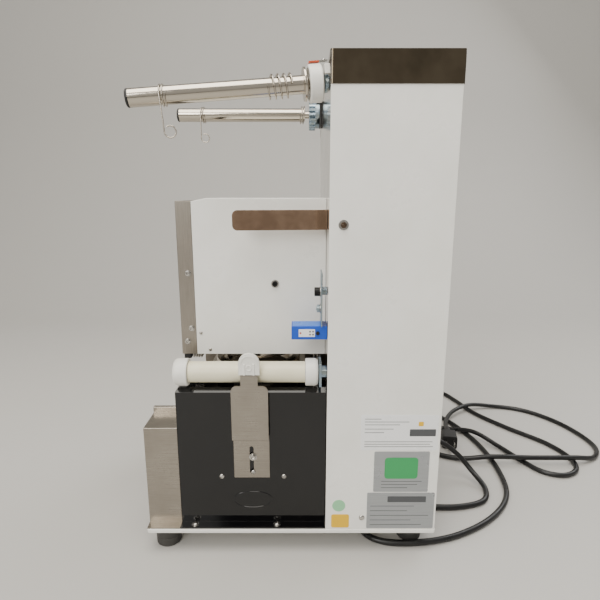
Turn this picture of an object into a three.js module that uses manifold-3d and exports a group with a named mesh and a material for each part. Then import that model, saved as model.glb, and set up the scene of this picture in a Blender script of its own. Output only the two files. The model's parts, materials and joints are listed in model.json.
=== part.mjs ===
// Automatic film cup-sealing machine, millimetres.
// X runs across the machine (+X is its right side), Y runs from the front to the back, Z is up.
// The origin is on the table, under the middle of the base plate.

import * as THREE from 'three';
import { mergeVertices } from 'three/addons/utils/BufferGeometryUtils.js';
import Module from 'manifold-3d';

const wasm = await Module();
wasm.setup();

// ---------------------------------------------------------------- overall sizes

const WIDTH = 265;
const DEPTH = 358;
const HEIGHT = 582;
const GAP = 0.3;

// ---------------------------------------------------------------- base and feet

const FOOT_HEIGHT = 28;
const FOOT_TOP_RADIUS = 17;
const FOOT_FLOOR_RADIUS = 15.5;
const FOOT_EDGE = 1;
const FRONT_FEET_INSET = 25.5;
const REAR_FEET_INSET = 35.5;
const FRONT_FEET_END_INSET = 20;
const REAR_FEET_END_INSET = 25;
const BASE_LIP = 5;
const BASE_SHEET = 2;
const BASE_CORNER = 3;

// ---------------------------------------------------------------- tower

const TOWER_DEPTH = 136.5;
const PANEL_SHEET = 1.2;
const PANEL_RETURN = 12;
const FRONT_SHEET = 1.5;
const FRONT_SETBACK = 0.5;
const FRONT_FLANGE = 20;
const CAP_SKIN = 0.7;
const CAP_SKIRT = 33;
const CAP_FRONT_LIP = 6;
const CAP_CORNER = 3;
const VENT_COUNT = 9;
const VENT_LENGTH = 90;
const VENT_HEIGHT = 4;
const VENT_PITCH = 11;
const VENT_DROP = 60;

// ---------------------------------------------------------------- head

const HEAD_WIDTH = 139;
const HEAD_LENGTH = 181.5;
const HEAD_LIFT = 21.4;
const HEAD_HEIGHT = 191.3;
const HEAD_FLANGE = 19;
const HEAD_OPENING_MARGIN = 12;
const LID_HEIGHT = 3.5;
const LID_SETBACK = 1;
const LID_SLOPE = 18;
const PANEL_PLATE_WIDTH = 100;
const PANEL_PLATE_HEIGHT = 62;
const PANEL_PLATE_DEPTH = 4;
const PANEL_PLATE_DROP = 28;
const BUTTON_RADIUS = 7;
const BUTTON_DEPTH = 5;
const BUTTON_SPACING = 26;
const BUTTON_LIFT = -12;
const BUTTON_STROKE = 1.5;
const ROCKER_WIDTH = 13;
const ROCKER_HEIGHT = 19;
const ROCKER_DEPTH = 4;
const ROCKER_SWING = 2.4;
const BUTTON_WELL_FLOOR = 1;

// ---------------------------------------------------------------- press inside the head

const PRESS_CENTRE_BACK = 90.5;
const PRESS_STROKE = 10.5;
const CUTTER_RADIUS = 59;
const CUTTER_WALL = 5;
const CUTTER_HEIGHT = 32;
const HEATER_CLEARANCE = 1.5;
const HEATER_HEIGHT = 20;
const CARRIAGE_HALF_WIDTH = 58;
const CARRIAGE_THICKNESS = 8;
const CARRIAGE_FRONT = 60;
const CARRIAGE_BACK = 78;
const POST_RADIUS = 5;
const POST_SPREAD = 30;
const ROD_RADIUS = 5;
const ROD_SPREAD = 48;
const ROD_BACK = 68;
const ROD_CLEARANCE = 0.4;
const PRESS_MOTOR_WIDTH = 56;
const PRESS_MOTOR_LENGTH = 62;
const PRESS_MOTOR_HEIGHT = 50;

// ---------------------------------------------------------------- lower housings, guard and tray

const WELL_HALF = 71;
const WELL_SHEET = 1;
const HOUSING_INSET = 13;
const HOUSING_TOP = 214;
const HOUSING_WALL = 2.5;
const HOUSING_CORNER = 6;
const HOUSING_BEVEL = 5;
const HOUSING_FLANGE = 11.5;
const HOUSING_FLANGE_THICKNESS = 2;
const GUARD_DEPTH = 41;
const GUARD_WALL_TOP = 163;
const GUARD_LIP_TOP = 170.5;
const GUARD_LIP_WIDTH = 5;
const LINER_TOP = 200;
const RAIL_WIDTH = 10;
const RAIL_HEIGHT = 9;
const RAIL_TOP = 203;
const RAIL_LIP = 2;
const TRAY_THICKNESS = 3;
const TRAY_HALF_LENGTH = 66;
const TRAY_SIDE_CLEARANCE = 1;
const RING_RADIUS = 59;
const RING_HEIGHT = 12.7;
const RING_BORE = 44;
const RING_SEAT_RADIUS = 49;
const RING_SEAT_DEPTH = 3;

// ---------------------------------------------------------------- film path

const ROLLER_INSET = 19;
const ROLLER_HEIGHT = 233;
const ROLLER_RADIUS = 12.5;
const ROLLER_LENGTH = 138;
const ROLLER_REAR_SPACE = 25.5;
const ROLLER_CAP_RADIUS = 16.25;
const FRONT_CAP_LENGTH = 17;
const REAR_CAP_LENGTH = 15;
const CAP_NOSE = 6;
const CAP_NOSE_INSET = 1.2;
const CAP_FACE = 2;
const CAP_FACE_INSET = 4;
const AXLE_END_SPACE = 1;
const AXLE_RADIUS = 4;
const AXLE_CLEARANCE = 0.4;
const AXLE_PLATE = 28;
const AXLE_PLATE_THICKNESS = 3;
const AXLE_NUT_RADIUS = 8;
const AXLE_TAIL = 7.5;

const BRACKET_WIDTH = 43.5;
const BRACKET_SHEET = 1.5;
const BRACKET_BOTTOM = 98;
const BRACKET_SHELF = 153;
const BRACKET_SHOULDER = 222;
const BRACKET_SHOULDER_RADIUS = 7;
const BRACKET_NECK = 20;
const BRACKET_FACE_INSET = 0.5;
const SLOT_WIDTH = 5;
const SLOT_END_RADIUS = 2.4;
const SLOT_BOTTOM = 104;
const SLOT_TOP = 140;
const SADDLE_WIDTH = 24.6;
const SADDLE_BOTTOM = 235;
const SADDLE_TOP = 261;
const SADDLE_THICKNESS = 4.6;
const SADDLE_RIB = 1;
const SADDLE_RIB_WIDTH = 2.4;
const SADDLE_RIB_SPREAD = 5.5;

const GUIDE_LENGTH = 110;
const GUIDE_BOTTOM = 399;
const GUIDE_HEIGHT = 23;
const GUIDE_SHEET = 2;
const GUIDE_CORNER = 6;
const GUIDE_ROOT_INSET = 45;
const GUIDE_SPLAY = 7.8;
const GUIDE_TAB = 16;
const GUIDE_TAB_SHEET = 3;

const SENSOR_OUTER_INSET = 15;
const SENSOR_WIDTH = 25;
const SENSOR_LENGTH = 41.5;
const SENSOR_BOTTOM = 274;
const SENSOR_HEIGHT = 16;
const SENSOR_KNOB_RADIUS = 2.3;
const SENSOR_KNOB_DEPTH = 1.6;
const SENSOR_KNOB_BACK = 11;
const STAND_HEIGHT = 63;
const STAND_WIDTH = 30;
const STAND_SHEET = 1.5;
const STAND_FORWARD = 7.5;
const SPACER_RADIUS = 5;
const SPACER_LIFT = 40;

// ---------------------------------------------------------------- film spindles

const SPINDLE_RADIUS = 9.5;
const SPINDLE_WALL = 1.8;
const SPINDLE_END = 3;
const SPINDLE_ROOT = 6;
const PLUG_EDGE = 1;
const PLUG_STEM = 10;
const SHAFT_RADIUS = 5;
const SHAFT_CLEARANCE = 0.4;
const SHAFT_TAIL = 14;
const HUB_SPACE = 24.2;
const WIRE_RADIUS = 0.9;
const WIRE_SIDES = 6;
const SUPPLY_INSET = 35.2;
const SUPPLY_DROP = 24.6;
const SUPPLY_DROOP = 5.5;
const SUPPLY_SPLAY = 6.4;
const SUPPLY_LENGTH = 215;
const TAKEUP_INSET = 24.5;
const TAKEUP_DROP = 26;
const TAKEUP_LENGTH = 214.5;
const BEARING_RADIUS = 10;
const BEARING_SLEEVE_RADIUS = 7;
const BEARING_LENGTH = 6.5;
const BEARING_STEP = 2;
const SHAFT_HOLE_RADIUS = 9.5;
const BRAKE_RADIUS = 19.5;
const BRAKE_FRONT = 22.8;
const BRAKE_BACK = 8.5;
const BRAKE_EDGE = 1.5;
const BRAKE_PAD_WIDTH = 12;
const BRAKE_PAD_THICKNESS = 2;
const BRAKE_ARM_WIDTH = 8;
const BRAKE_ARM_SHEET = 0.6;
const FLANGE_RADIUS = 17.5;
const FLANGE_FRONT = 28;
const FLANGE_BACK = 26;
const SUPPLY_SPRING_START = 42;
const SUPPLY_SPRING_TURNS = 4;
const SUPPLY_SPRING_PITCH = 6.5;
const TAKEUP_SPRING_START = 24.5;
const TAKEUP_SPRING_TURNS = 2;
const TAKEUP_SPRING_PITCH = 3.4;
const SPRING_SLACK = 2.6;
const SPRING_STEPS = 16;
const CLIP_SLACK = 1.3;
const CLIP_TURNS = 2;
const CLIP_PITCH = 2.8;
const CLIP_WIRE = 0.8;
const CLIP_LOOP_RADIUS = 6;
const CLIP_LOOP_SWEEP = 300;
const CLIP_LOOP_STEPS = 9;
const CLIP_STEPS = 12;
const SUPPLY_CLIP_AT = 174;
const SUPPLY_CLIP_TAIL = 38;
const TAKEUP_CLIP_AT = 173;
const TAKEUP_CLIP_TAIL = 34;
const GEAR_RADIUS = 21.75;
const GEAR_ROOT_RADIUS = 19;
const GEAR_TEETH = 20;
const GEAR_FRONT = 18;
const GEAR_BACK = 9;
const GEAR_HUB_RADIUS = 19;
const GEAR_HUB_BACK = 3;
const TOOTH_ROOT_END = 0.3;
const TOOTH_TIP_START = 0.45;
const TOOTH_TIP_END = 0.8;
const TAKEUP_PLATE = 34;
const TAKEUP_PLATE_FRONT = 2.6;

// ---------------------------------------------------------------- parts inside the tower

const TAKEUP_MOTOR_RADIUS = 18;
const TAKEUP_MOTOR_LENGTH = 60;
const SUPPLY_UNIT_WIDTH = 110;
const SUPPLY_UNIT_DEPTH = 70;
const SUPPLY_UNIT_HEIGHT = 42;
const SUPPLY_UNIT_FORWARD = 38;
const BOARD_WIDTH = 140;
const BOARD_HEIGHT = 120;
const BOARD_THICKNESS = 1.6;
const BOARD_BOTTOM = 300;
const BOARD_STANDOFF = 24;
const BOARD_POST_RADIUS = 3;
const BOARD_POST_INSET = 8;

// ---------------------------------------------------------------- mains cord

const CORD_RADIUS = 4;
const CORD_STEPS = 80;
const CORD_SIDES = 8;
const GLAND_X = -40;
const GLAND_HEIGHT = 60;
const GLAND_THREAD_RADIUS = 7;
const GLAND_FLANGE_RADIUS = 11;
const GLAND_FLANGE = 3;
const GLAND_ROOT_RADIUS = 8;
const GLAND_TIP_RADIUS = 5.4;
const PLUG_RELIEF_LENGTH = 20;
const PLUG_RELIEF_TIP = 5.4;
const PLUG_RELIEF_ROOT = 9;
const PLUG_BODY_LENGTH = 28;
const PLUG_BODY_HALF = 13;
const PLUG_BODY_CORNER = 4;
const PLUG_TOP_DROP = 2;
const PIN_ROOT = 1;
const BLADE_LIFT = 2;
const EARTH_EXTRA = 2;
const BLADE_LENGTH = 16;
const BLADE_THICKNESS = 1.5;
const BLADE_HEIGHT = 6.3;
const BLADE_SPREAD = 6.35;
const EARTH_RADIUS = 2.4;
const EARTH_DROP = 8;

// The cord's route from the strain relief to the plug: out of the back, down to the table, under the
// tower, out on the right, and round two loose loops behind the machine. X, Y, Z of its middle.
const CORD_ROUTE = [
  [-40, 212.3, 60], [-40, 230, 59], [-38, 258, 40], [-24, 280, 17], [4, 291, 5.4],
  [32, 279, 4.2], [47, 238, 4.2], [44, 150, 4.2], [46, 122, 4.2], [58, 100, 4.2], [82, 90, 4.2],
  [107, 100, 4.2], [119, 126, 4.2], [112, 200, 4.2], [72, 274, 4.2], [20, 317, 4.2],
  [-50, 332, 4.2], [-130, 329, 4.2], [-200, 311, 4.2], [-290, 268, 4.2], [-324, 261, 4.2],
  [-355, 274, 4.2], [-368, 303, 4.2], [-355, 332, 4.2], [-320, 347, 4.2], [-258, 366, 4.2],
  [-195, 405, 4.2], [-128, 455, 4.2], [-77, 468, 4.2], [-46, 457, 4.2], [-32, 430, 4.2],
  [-42, 402, 4.2], [-74, 383, 4.2], [-118, 362, 6], [-160, 330, 12.8], [-185, 298, 5.2],
  [-193, 264, 4.2], [-176, 235, 4.2], [-141, 224, 4.2], [-104, 239, 4.2], [-81, 280, 5.4],
  [-73, 330, 12.8], [-70, 397, 12.8], [-70, 468, 12.8], [-84, 508, 5], [-114, 530, 4.2],
  [-156, 532, 4.2], [-220, 512, 4.2], [-270, 470, 4.2], [-287, 415, 5.4], [-276, 362, 12.8],
  [-244, 318, 12.8], [-196, 290, 13], [-166, 284, 14],
];

// ---------------------------------------------------------------- sizes that follow from the above

const SPRING_RADIUS = SPINDLE_RADIUS + SPRING_SLACK;
const CLIP_RADIUS = SPINDLE_RADIUS + CLIP_SLACK;
const HALF_WIDTH = WIDTH / 2;
const FRONT = -DEPTH / 2;
const BACK = DEPTH / 2;
const BASE_TOP = FOOT_HEIGHT + BASE_LIP;
const TOWER_FRONT = BACK - TOWER_DEPTH;
const CAP_MARGIN = CAP_SKIN + GAP;
const TOWER_SIDE = HALF_WIDTH - CAP_MARGIN;
const TOWER_BACK = BACK - CAP_MARGIN;
const TOWER_TOP = HEIGHT - CAP_MARGIN;
const TOWER_INNER = TOWER_SIDE - PANEL_SHEET - GAP;
const FRONT_FACE = TOWER_FRONT + FRONT_SETBACK;
const REAR_FACE = TOWER_BACK - PANEL_SHEET - GAP;
const SEAT = BASE_TOP + GAP;

const HEAD_HALF = HEAD_WIDTH / 2;
const HEAD_FRONT = TOWER_FRONT - HEAD_LENGTH;
const HEAD_BACK = FRONT_FACE - GAP;

const HOUSING_SIDE = HALF_WIDTH - HOUSING_INSET;
const HOUSING_INNER = WELL_HALF + WELL_SHEET + GAP;
const HOUSING_FRONT = FRONT + GUARD_DEPTH;
const PRESS_Y = TOWER_FRONT - PRESS_CENTRE_BACK;
const TRAY_BOTTOM = RAIL_TOP + GAP;
const RING_BOTTOM = TRAY_BOTTOM + TRAY_THICKNESS + GAP;
const RING_TOP = RING_BOTTOM + RING_HEIGHT;
const HEAD_BOTTOM = RING_TOP + HEAD_LIFT;
const HEAD_TOP = HEAD_BOTTOM + HEAD_HEIGHT;
const CUTTER_BOTTOM = RING_TOP + PRESS_STROKE + GAP;
const CARRIAGE_BOTTOM = CUTTER_BOTTOM + CUTTER_HEIGHT + GAP;
const CARRIAGE_TOP = CARRIAGE_BOTTOM + CARRIAGE_THICKNESS;

const ROLLER_X = HALF_WIDTH - ROLLER_INSET;
const ROLLER_BACK = TOWER_FRONT - ROLLER_REAR_SPACE;
const ROLLER_FRONT = ROLLER_BACK - ROLLER_LENGTH;
const BRACKET_FACE = HALF_WIDTH - BRACKET_FACE_INSET;
const SUPPLY_X = HALF_WIDTH - SUPPLY_INSET;
const SUPPLY_Z = HEIGHT - SUPPLY_DROP;
const TAKEUP_X = -(HALF_WIDTH - TAKEUP_INSET);
const TAKEUP_Z = HEIGHT - TAKEUP_DROP;
const SENSOR_SIDE = HALF_WIDTH - SENSOR_OUTER_INSET;

const degrees = THREE.MathUtils.degToRad;

// ---------------------------------------------------------------- finishes

const finish = (color, roughness, metalness) => ({ color, roughness, metalness });
const WHITE_PAINT = finish(0xe6e6e2, 0.35, 0);
const BRUSHED_STEEL = finish(0xb0aca4, 0.4, 1);
const POLISHED_STEEL = finish(0xc2beb8, 0.12, 1);
const ZINC_PLATE = finish(0x9fb0bd, 0.35, 1);
const ALUMINIUM = finish(0xb8bab9, 0.45, 1);
const BLACK_GLOSS = finish(0x0b0b0c, 0.12, 0);
const BLACK_PLASTIC = finish(0x161616, 0.5, 0);
const GREY_RUBBER = finish(0x4e4d4a, 0.8, 0);
const CORD_RUBBER = finish(0x0d0d0d, 0.45, 0);
const WHITE_NYLON = finish(0xf1f0ec, 0.4, 0);
const IVORY_PLASTIC = finish(0xe4dfc4, 0.4, 0);
const BLUE_PLASTIC = finish(0x1353c0, 0.4, 0);
const ORANGE_FELT = finish(0xcf5f3a, 0.9, 0);
const GREEN_BOARD = finish(0x1f5b3a, 0.5, 0);
const GREEN_BUTTON = finish(0x2f8f4a, 0.35, 0);
const RED_SWITCH = finish(0xb4231e, 0.3, 0);

// ---------------------------------------------------------------- shape helpers

/** Turns a closed three.js geometry into a solid that can be joined and cut. */
function toSolid(geometry) {
  const plain = new THREE.BufferGeometry();
  plain.setAttribute('position', geometry.getAttribute('position'));
  plain.setIndex(geometry.getIndex());
  const merged = mergeVertices(plain);
  const corners = merged.getIndex().array;
  const kept = [];
  for (let i = 0; i < corners.length; i += 3) {
    const [a, b, c] = [corners[i], corners[i + 1], corners[i + 2]];
    if (a !== b && b !== c && c !== a) kept.push(a, b, c);
  }
  return new wasm.Manifold(new wasm.Mesh({
    numProp: 3,
    vertProperties: new Float32Array(merged.getAttribute('position').array),
    triVerts: new Uint32Array(kept),
  }));
}

/** Turns a solid back into a three.js geometry. */
function toGeometry(solid) {
  const mesh = solid.getMesh();
  const geometry = new THREE.BufferGeometry();
  geometry.setAttribute('position', new THREE.BufferAttribute(mesh.vertProperties, 3));
  geometry.setIndex(new THREE.BufferAttribute(mesh.triVerts, 1));
  geometry.computeVertexNormals();
  return geometry;
}

/** A rectangular block between two limits on each axis. */
function block([x0, x1], [y0, y1], [z0, z1]) {
  const geometry = new THREE.BoxGeometry(x1 - x0, y1 - y0, z1 - z0);
  geometry.translate((x0 + x1) / 2, (y0 + y1) / 2, (z0 + z1) / 2);
  return toSolid(geometry);
}

/** The outline of a rectangle with round corners. */
function roundedRectangle([x0, x1], [y0, y1], radius) {
  const shape = new THREE.Shape();
  shape.absarc(x1 - radius, y0 + radius, radius, -Math.PI / 2, 0);
  shape.absarc(x1 - radius, y1 - radius, radius, 0, Math.PI / 2);
  shape.absarc(x0 + radius, y1 - radius, radius, Math.PI / 2, Math.PI);
  shape.absarc(x0 + radius, y0 + radius, radius, Math.PI, Math.PI * 1.5);
  shape.closePath();
  return shape;
}

/** An outline from its corner points. */
function polygon(points) {
  return new THREE.Shape(points.map(([x, y]) => new THREE.Vector2(x, y)));
}

/** Extrudes an outline drawn in X and Y upwards from z0 to z1. */
function riseAlongZ(shape, [z0, z1], curveSegments = 5) {
  const settings = { depth: z1 - z0, bevelEnabled: false, curveSegments };
  const geometry = new THREE.ExtrudeGeometry(shape, settings);
  geometry.translate(0, 0, z0);
  return toSolid(geometry);
}

/** Extrudes an outline drawn in Y and Z across from x0 to x1. */
function runAlongX(shape, [x0, x1], curveSegments = 5) {
  const settings = { depth: x1 - x0, bevelEnabled: false, curveSegments };
  const geometry = new THREE.ExtrudeGeometry(shape, settings);
  geometry.rotateZ(Math.PI / 2);
  geometry.rotateY(Math.PI / 2);
  geometry.translate(x0, 0, 0);
  return toSolid(geometry);
}

/** Extrudes an outline drawn in X and Z back from y0 to y1. */
function runAlongY(shape, [y0, y1], curveSegments = 5) {
  const settings = { depth: y1 - y0, bevelEnabled: false, curveSegments };
  const geometry = new THREE.ExtrudeGeometry(shape, settings);
  geometry.rotateX(Math.PI / 2);
  geometry.translate(0, y1, 0);
  return toSolid(geometry);
}

/** The cross-section of a folded sheet: the points lie on its seen side, its thickness is on their left. */
function foldedSheet(points, thickness) {
  const heading = (a, b) => new THREE.Vector2(b[0] - a[0], b[1] - a[1]).normalize();
  const inner = points.map((point, i) => {
    const before = heading(points[Math.max(i - 1, 0)], points[Math.max(i, 1)]);
    const last = points.length - 1;
    const after = heading(points[Math.min(i, last - 1)], points[Math.min(i + 1, last)]);
    const side = new THREE.Vector2(-before.y - after.y, before.x + after.x).normalize();
    const reach = thickness / (side.x * -before.y + side.y * before.x);
    return [point[0] + side.x * reach, point[1] + side.y * reach];
  });
  return polygon([...points, ...inner.reverse()]);
}

/** A turned piece about the Y axis, from its [radius, y] profile. */
function turned(profile, segments = 28) {
  const points = profile.map(([radius, y]) => new THREE.Vector2(radius, y));
  return toSolid(new THREE.LatheGeometry(points, segments));
}

/** A round bar along Y. */
function barAlongY(radius, [y0, y1], segments = 28) {
  return turned([[0, y0], [radius, y0], [radius, y1], [0, y1]], segments);
}

/** A turned ring along Y with a plain bore. */
function ringAlongY(outer, bore, [y0, y1], segments = 28) {
  return turned([[bore, y0], [outer, y0], [outer, y1], [bore, y1], [bore, y0]], segments);
}

/** The same solid turned so that its Y axis points up. */
function upright(solid) {
  return solid.rotate([90, 0, 0]);
}

/** A wire or cord of round section along a curve. */
function wire(curve, radius, steps, sides) {
  const section = new THREE.Shape();
  for (let i = 0; i < sides; i += 1) {
    const angle = i / sides * Math.PI * 2;
    const corner = [Math.cos(angle) * radius, Math.sin(angle) * radius];
    if (i === 0) section.moveTo(...corner);
    else section.lineTo(...corner);
  }
  section.closePath();
  return toSolid(new THREE.ExtrudeGeometry(section, { steps, extrudePath: curve, bevelEnabled: false }));
}

const machine = new THREE.Group();

/** Adds one named piece to a group of the machine. */
function addPiece(name, solid, look, group = machine) {
  const mesh = new THREE.Mesh(toGeometry(solid), new THREE.MeshStandardMaterial(look));
  mesh.name = name;
  group.add(mesh);
}

const SIDES = [['right', 1], ['left', -1]];

/** Limits across the machine, for the right side or mirrored for the left. */
function across(side, inner, outer) {
  return side > 0 ? [inner, outer] : [-outer, -inner];
}

// ---------------------------------------------------------------- base

/** The sheet base plate on its four rubber feet. */
function buildBase() {
  const outline = roundedRectangle([-HALF_WIDTH, HALF_WIDTH], [FRONT, BACK], BASE_CORNER);
  const inside = block(
    [BASE_SHEET - HALF_WIDTH, HALF_WIDTH - BASE_SHEET],
    [FRONT + BASE_SHEET, BACK - BASE_SHEET],
    [FOOT_HEIGHT - BASE_SHEET, BASE_TOP - BASE_SHEET],
  );
  addPiece('base_plate', riseAlongZ(outline, [FOOT_HEIGHT, BASE_TOP]).subtract(inside), WHITE_PAINT);

  const footTop = BASE_TOP - BASE_SHEET - GAP;
  const foot = upright(turned([
    [0, 0],
    [FOOT_FLOOR_RADIUS - FOOT_EDGE, 0],
    [FOOT_FLOOR_RADIUS, FOOT_EDGE],
    [FOOT_TOP_RADIUS, footTop - FOOT_EDGE],
    [FOOT_TOP_RADIUS - FOOT_EDGE, footTop],
    [0, footTop],
  ]));
  for (const [sideName, side] of SIDES) {
    for (const [endName, y, inset] of [
      ['front', FRONT + FRONT_FEET_END_INSET, FRONT_FEET_INSET],
      ['rear', BACK - REAR_FEET_END_INSET, REAR_FEET_INSET],
    ]) {
      const placed = foot.translate([side * (HALF_WIDTH - inset), y, 0]);
      addPiece(`foot_${endName}_${sideName}`, placed, GREY_RUBBER);
    }
  }
}

// ---------------------------------------------------------------- tower

/** The tower's folded side, front and rear panels, and its cap. */
function buildTower() {
  for (const [sideName, side] of SIDES) {
    const bend = [
      [side * TOWER_SIDE, TOWER_FRONT],
      [side * TOWER_SIDE, TOWER_BACK],
      [side * (TOWER_SIDE - PANEL_RETURN), TOWER_BACK],
    ];
    const section = foldedSheet(bend, side * PANEL_SHEET);
    addPiece(`tower_panel_${sideName}`, riseAlongZ(section, [SEAT, TOWER_TOP]), WHITE_PAINT);
  }

  const frontSection = foldedSheet([
    [-TOWER_INNER, FRONT_FACE + FRONT_FLANGE],
    [-TOWER_INNER, FRONT_FACE],
    [TOWER_INNER, FRONT_FACE],
    [TOWER_INNER, FRONT_FACE + FRONT_FLANGE],
  ], FRONT_SHEET);
  const through = [FRONT_FACE - GAP, FRONT_FACE + FRONT_SHEET + GAP];
  const headOpening = block(
    [HEAD_OPENING_MARGIN - HEAD_HALF, HEAD_HALF - HEAD_OPENING_MARGIN],
    through,
    [HEAD_BOTTOM + HEAD_OPENING_MARGIN, HEAD_TOP - HEAD_OPENING_MARGIN],
  );
  const shaftHole = barAlongY(SHAFT_HOLE_RADIUS, through, 24);
  const axleHole = barAlongY(AXLE_RADIUS + AXLE_CLEARANCE, through, 24);
  const frontPanel = riseAlongZ(frontSection, [SEAT, TOWER_TOP])
    .subtract(headOpening)
    .subtract(shaftHole.translate([SUPPLY_X, 0, SUPPLY_Z]))
    .subtract(shaftHole.translate([TAKEUP_X, 0, TAKEUP_Z]))
    .subtract(axleHole.translate([ROLLER_X, 0, ROLLER_HEIGHT]))
    .subtract(axleHole.translate([-ROLLER_X, 0, ROLLER_HEIGHT]));
  addPiece('tower_front_panel', frontPanel, POLISHED_STEEL);

  const rearSection = foldedSheet([
    [TOWER_INNER, REAR_FACE - FRONT_FLANGE],
    [TOWER_INNER, REAR_FACE],
    [-TOWER_INNER, REAR_FACE],
    [-TOWER_INNER, REAR_FACE - FRONT_FLANGE],
  ], PANEL_SHEET);
  const rearThrough = [REAR_FACE - PANEL_SHEET - GAP, REAR_FACE + GAP];
  let rearPanel = riseAlongZ(rearSection, [SEAT, TOWER_TOP]).subtract(
    barAlongY(GLAND_THREAD_RADIUS + GAP, rearThrough, 24).translate([GLAND_X, 0, GLAND_HEIGHT]),
  );
  for (let i = 0; i < VENT_COUNT; i += 1) {
    const top = TOWER_TOP - VENT_DROP - i * VENT_PITCH;
    rearPanel = rearPanel.subtract(
      block([-VENT_LENGTH / 2, VENT_LENGTH / 2], rearThrough, [top - VENT_HEIGHT, top]),
    );
  }
  addPiece('tower_rear_panel', rearPanel, WHITE_PAINT);

  const capFront = TOWER_FRONT - CAP_MARGIN;
  const capOutline = roundedRectangle([-HALF_WIDTH, HALF_WIDTH], [capFront, BACK], CAP_CORNER);
  const capInside = block(
    [CAP_SKIN - HALF_WIDTH, HALF_WIDTH - CAP_SKIN],
    [capFront + CAP_SKIN, BACK - CAP_SKIN],
    [HEIGHT - CAP_SKIRT - GAP, HEIGHT - CAP_SKIN],
  );
  const capOpenFront = block(
    [CAP_CORNER - HALF_WIDTH, HALF_WIDTH - CAP_CORNER],
    [capFront - GAP, capFront + CAP_SKIN + GAP],
    [HEIGHT - CAP_SKIRT - GAP, HEIGHT - CAP_FRONT_LIP],
  );
  const capBlock = riseAlongZ(capOutline, [HEIGHT - CAP_SKIRT, HEIGHT]);
  const cap = capBlock.subtract(capInside).subtract(capOpenFront);
  addPiece('tower_top_cap', cap, POLISHED_STEEL);
}

/** The drive, the power unit and the control board inside the tower. */
function buildTowerInsides() {
  const motorFront = TOWER_FRONT + SHAFT_TAIL + GAP;
  const motor = barAlongY(TAKEUP_MOTOR_RADIUS, [motorFront, motorFront + TAKEUP_MOTOR_LENGTH], 28);
  addPiece('takeup_gearmotor', motor.translate([TAKEUP_X, 0, TAKEUP_Z]), ALUMINIUM);

  const unitFront = FRONT_FACE + SUPPLY_UNIT_FORWARD;
  addPiece('power_supply', block(
    [-SUPPLY_UNIT_WIDTH / 2, SUPPLY_UNIT_WIDTH / 2],
    [unitFront, unitFront + SUPPLY_UNIT_DEPTH],
    [SEAT, SEAT + SUPPLY_UNIT_HEIGHT],
  ), ALUMINIUM);

  const boardBack = REAR_FACE - PANEL_SHEET - GAP - BOARD_STANDOFF;
  let board = block(
    [-BOARD_WIDTH / 2, BOARD_WIDTH / 2],
    [boardBack - BOARD_THICKNESS, boardBack],
    [BOARD_BOTTOM, BOARD_BOTTOM + BOARD_HEIGHT],
  );
  const post = barAlongY(BOARD_POST_RADIUS, [boardBack - BOARD_THICKNESS, boardBack + BOARD_STANDOFF], 10);
  for (const x of [BOARD_POST_INSET - BOARD_WIDTH / 2, BOARD_WIDTH / 2 - BOARD_POST_INSET]) {
    for (const z of [BOARD_BOTTOM + BOARD_POST_INSET, BOARD_BOTTOM + BOARD_HEIGHT - BOARD_POST_INSET]) {
      board = board.add(post.translate([x, 0, z]));
    }
  }
  addPiece('control_board', board, GREEN_BOARD);
}

// ---------------------------------------------------------------- head

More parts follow.
